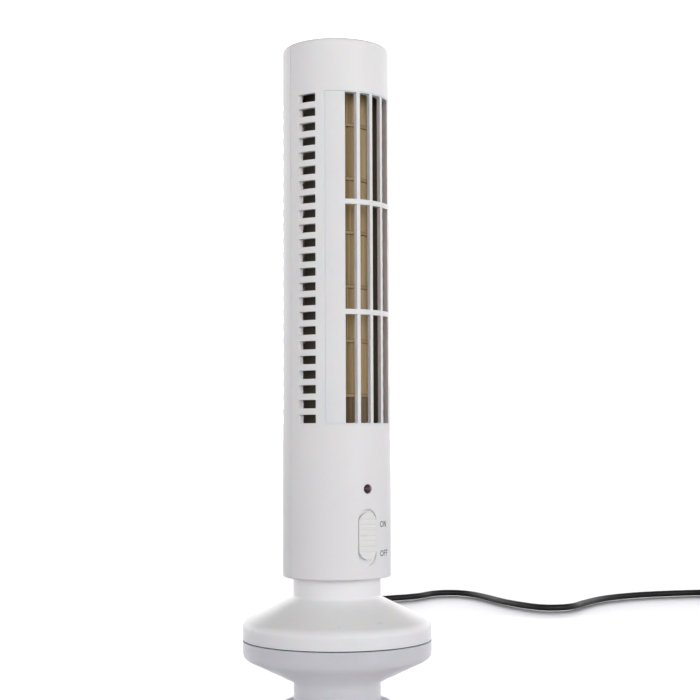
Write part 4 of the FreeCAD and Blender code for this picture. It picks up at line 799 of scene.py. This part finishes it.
def make_floor():
    """A large pale table top, polished in front of the fan, where the photograph shows it mirrored."""
    n = Nodes("table_top")
    n.set(IOR=1.8, Specular_Tint=(0.92, 0.91, 1.0), Coat_Weight=0.5, Coat_Tint=(0.97, 0.97, 1.0))
    cloud = n.noise(3.0, 2.0)
    # Painted reflection tone: the polished patch's darker, bluer colour.
    polished = n.ramp(cloud, tuple(zip((0.3, 0.7), POLISHED_REFLECTION_TONES)))
    behind = n.tree.nodes.new("ShaderNodeVectorMath")
    behind.operation = "DOT_PRODUCT"
    behind.inputs[1].default_value = SIGHT
    n.link(n.place, behind.inputs[0])
    away = n.tree.nodes.new("ShaderNodeVectorMath")
    away.operation = "DISTANCE"
    away.inputs[1].default_value = POLISHED_MIDDLE
    n.link(n.place, away.inputs[0])
    matt = n.math(
        "MAXIMUM", n.ranged(behind.outputs["Value"], 0.0, 1.0, *POLISH_FADES_BEHIND),
        n.ranged(away.outputs["Value"], 0.0, 1.0, *POLISH_FADES_AWAY),
    )
    n.link(n.mix(matt, polished, MATT_COLOUR), n.shader.inputs["Base Color"])
    roughness = n.ranged(matt, POLISHED_ROUGHNESS, MATT_ROUGHNESS, 0.0, 1.0)
    n.link(roughness, n.shader.inputs["Roughness"])
    n.link(roughness, n.shader.inputs["Coat Roughness"])
    angles = [k * math.tau / FLOOR_SIDES for k in range(FLOOR_SIDES)]
    rings = [[Vector((r * math.cos(a), r * math.sin(a), FLOOR_LEVEL)) for a in angles] for r in FLOOR_RADII]
    vertices, faces = loft(rings, closed_ends=False)
    faces.append(tuple(range(FLOOR_SIDES)))
    floor = new_object("table_top", vertices, faces, n.material, smooth=False)
    work = bmesh.new()
    work.from_mesh(floor.data)
    for face in work.faces:
        if face.normal.z < 0:
            face.normal_flip()
    work.to_mesh(floor.data)
    work.free()


WALL_LIGHT = 2.08
CEILING_LIGHT = 0.16
# The walls end and the ceiling begins between these heights of the sky, from 0 level to 1 overhead.
WALL_ENDS = (0.33, 0.52)
# Light from the sides falls to SIDE_SHARE, from SIDE_START of the way round to straight across the view.
SIDE_SHARE = 0.72
SIDE_START = 0.55


def make_world():
    """White studio walls, a little dimmer at the sides, and a much dimmer ceiling."""
    world = bpy.data.worlds.new("studio")
    bpy.context.scene.world = world
    world.use_nodes = True
    tree = world.node_tree
    background = tree.nodes["Background"]
    place = tree.nodes.new("ShaderNodeTexCoord")
    split = tree.nodes.new("ShaderNodeSeparateXYZ")
    tree.links.new(place.outputs["Generated"], split.inputs["Vector"])
    height = tree.nodes.new("ShaderNodeMapRange")
    height.inputs["From Min"].default_value = WALL_ENDS[0]
    height.inputs["From Max"].default_value = WALL_ENDS[1]
    height.inputs["To Min"].default_value = WALL_LIGHT
    height.inputs["To Max"].default_value = CEILING_LIGHT
    height.interpolation_type = "SMOOTHSTEP"
    tree.links.new(split.outputs["Z"], height.inputs["Value"])
    across = tree.nodes.new("ShaderNodeVectorMath")
    across.operation = "DOT_PRODUCT"
    across.inputs[1].default_value = ACROSS
    tree.links.new(place.outputs["Generated"], across.inputs[0])
    aside = tree.nodes.new("ShaderNodeMath")
    aside.operation = "ABSOLUTE"
    tree.links.new(across.outputs["Value"], aside.inputs[0])
    side = tree.nodes.new("ShaderNodeMapRange")
    side.inputs["From Min"].default_value = SIDE_START
    side.inputs["From Max"].default_value = 1.0
    side.inputs["To Min"].default_value = 1.0
    side.inputs["To Max"].default_value = SIDE_SHARE
    tree.links.new(aside.outputs["Value"], side.inputs["Value"])
    product = tree.nodes.new("ShaderNodeMath")
    product.operation = "MULTIPLY"
    tree.links.new(height.outputs["Result"], product.inputs[0])
    tree.links.new(side.outputs["Result"], product.inputs[1])
    background.inputs["Color"].default_value = (1.0, 1.0, 1.0, 1.0)
    tree.links.new(product.outputs["Value"], background.inputs["Strength"])


def softbox(name, place, aim, width, height, power):
    """A white rectangular light at place, turned to aim, and unseen by the camera."""
    data = bpy.data.lights.new(name, "AREA")
    data.shape = "RECTANGLE"
    data.size, data.size_y = width, height
    data.energy = power
    light = bpy.data.objects.new(name, data)
    bpy.context.scene.collection.objects.link(light)
    light.location = place
    light.rotation_euler = (Vector(aim) - Vector(place)).to_track_quat("-Z", "Y").to_euler()
    light.visible_camera = False


make_floor()
make_world()
softbox("front_strip", (0.17, -1.19, 0.30), (0, 0, 0.2), 0.08, 1.2, 3.2)
softbox("front_high", (-0.6, -2.0, 2.0), (0, 0, 0.17), 1.3, 0.9, 5.5)

view = bpy.context.scene.view_settings
view.view_transform = "Standard"
view.look = "None"
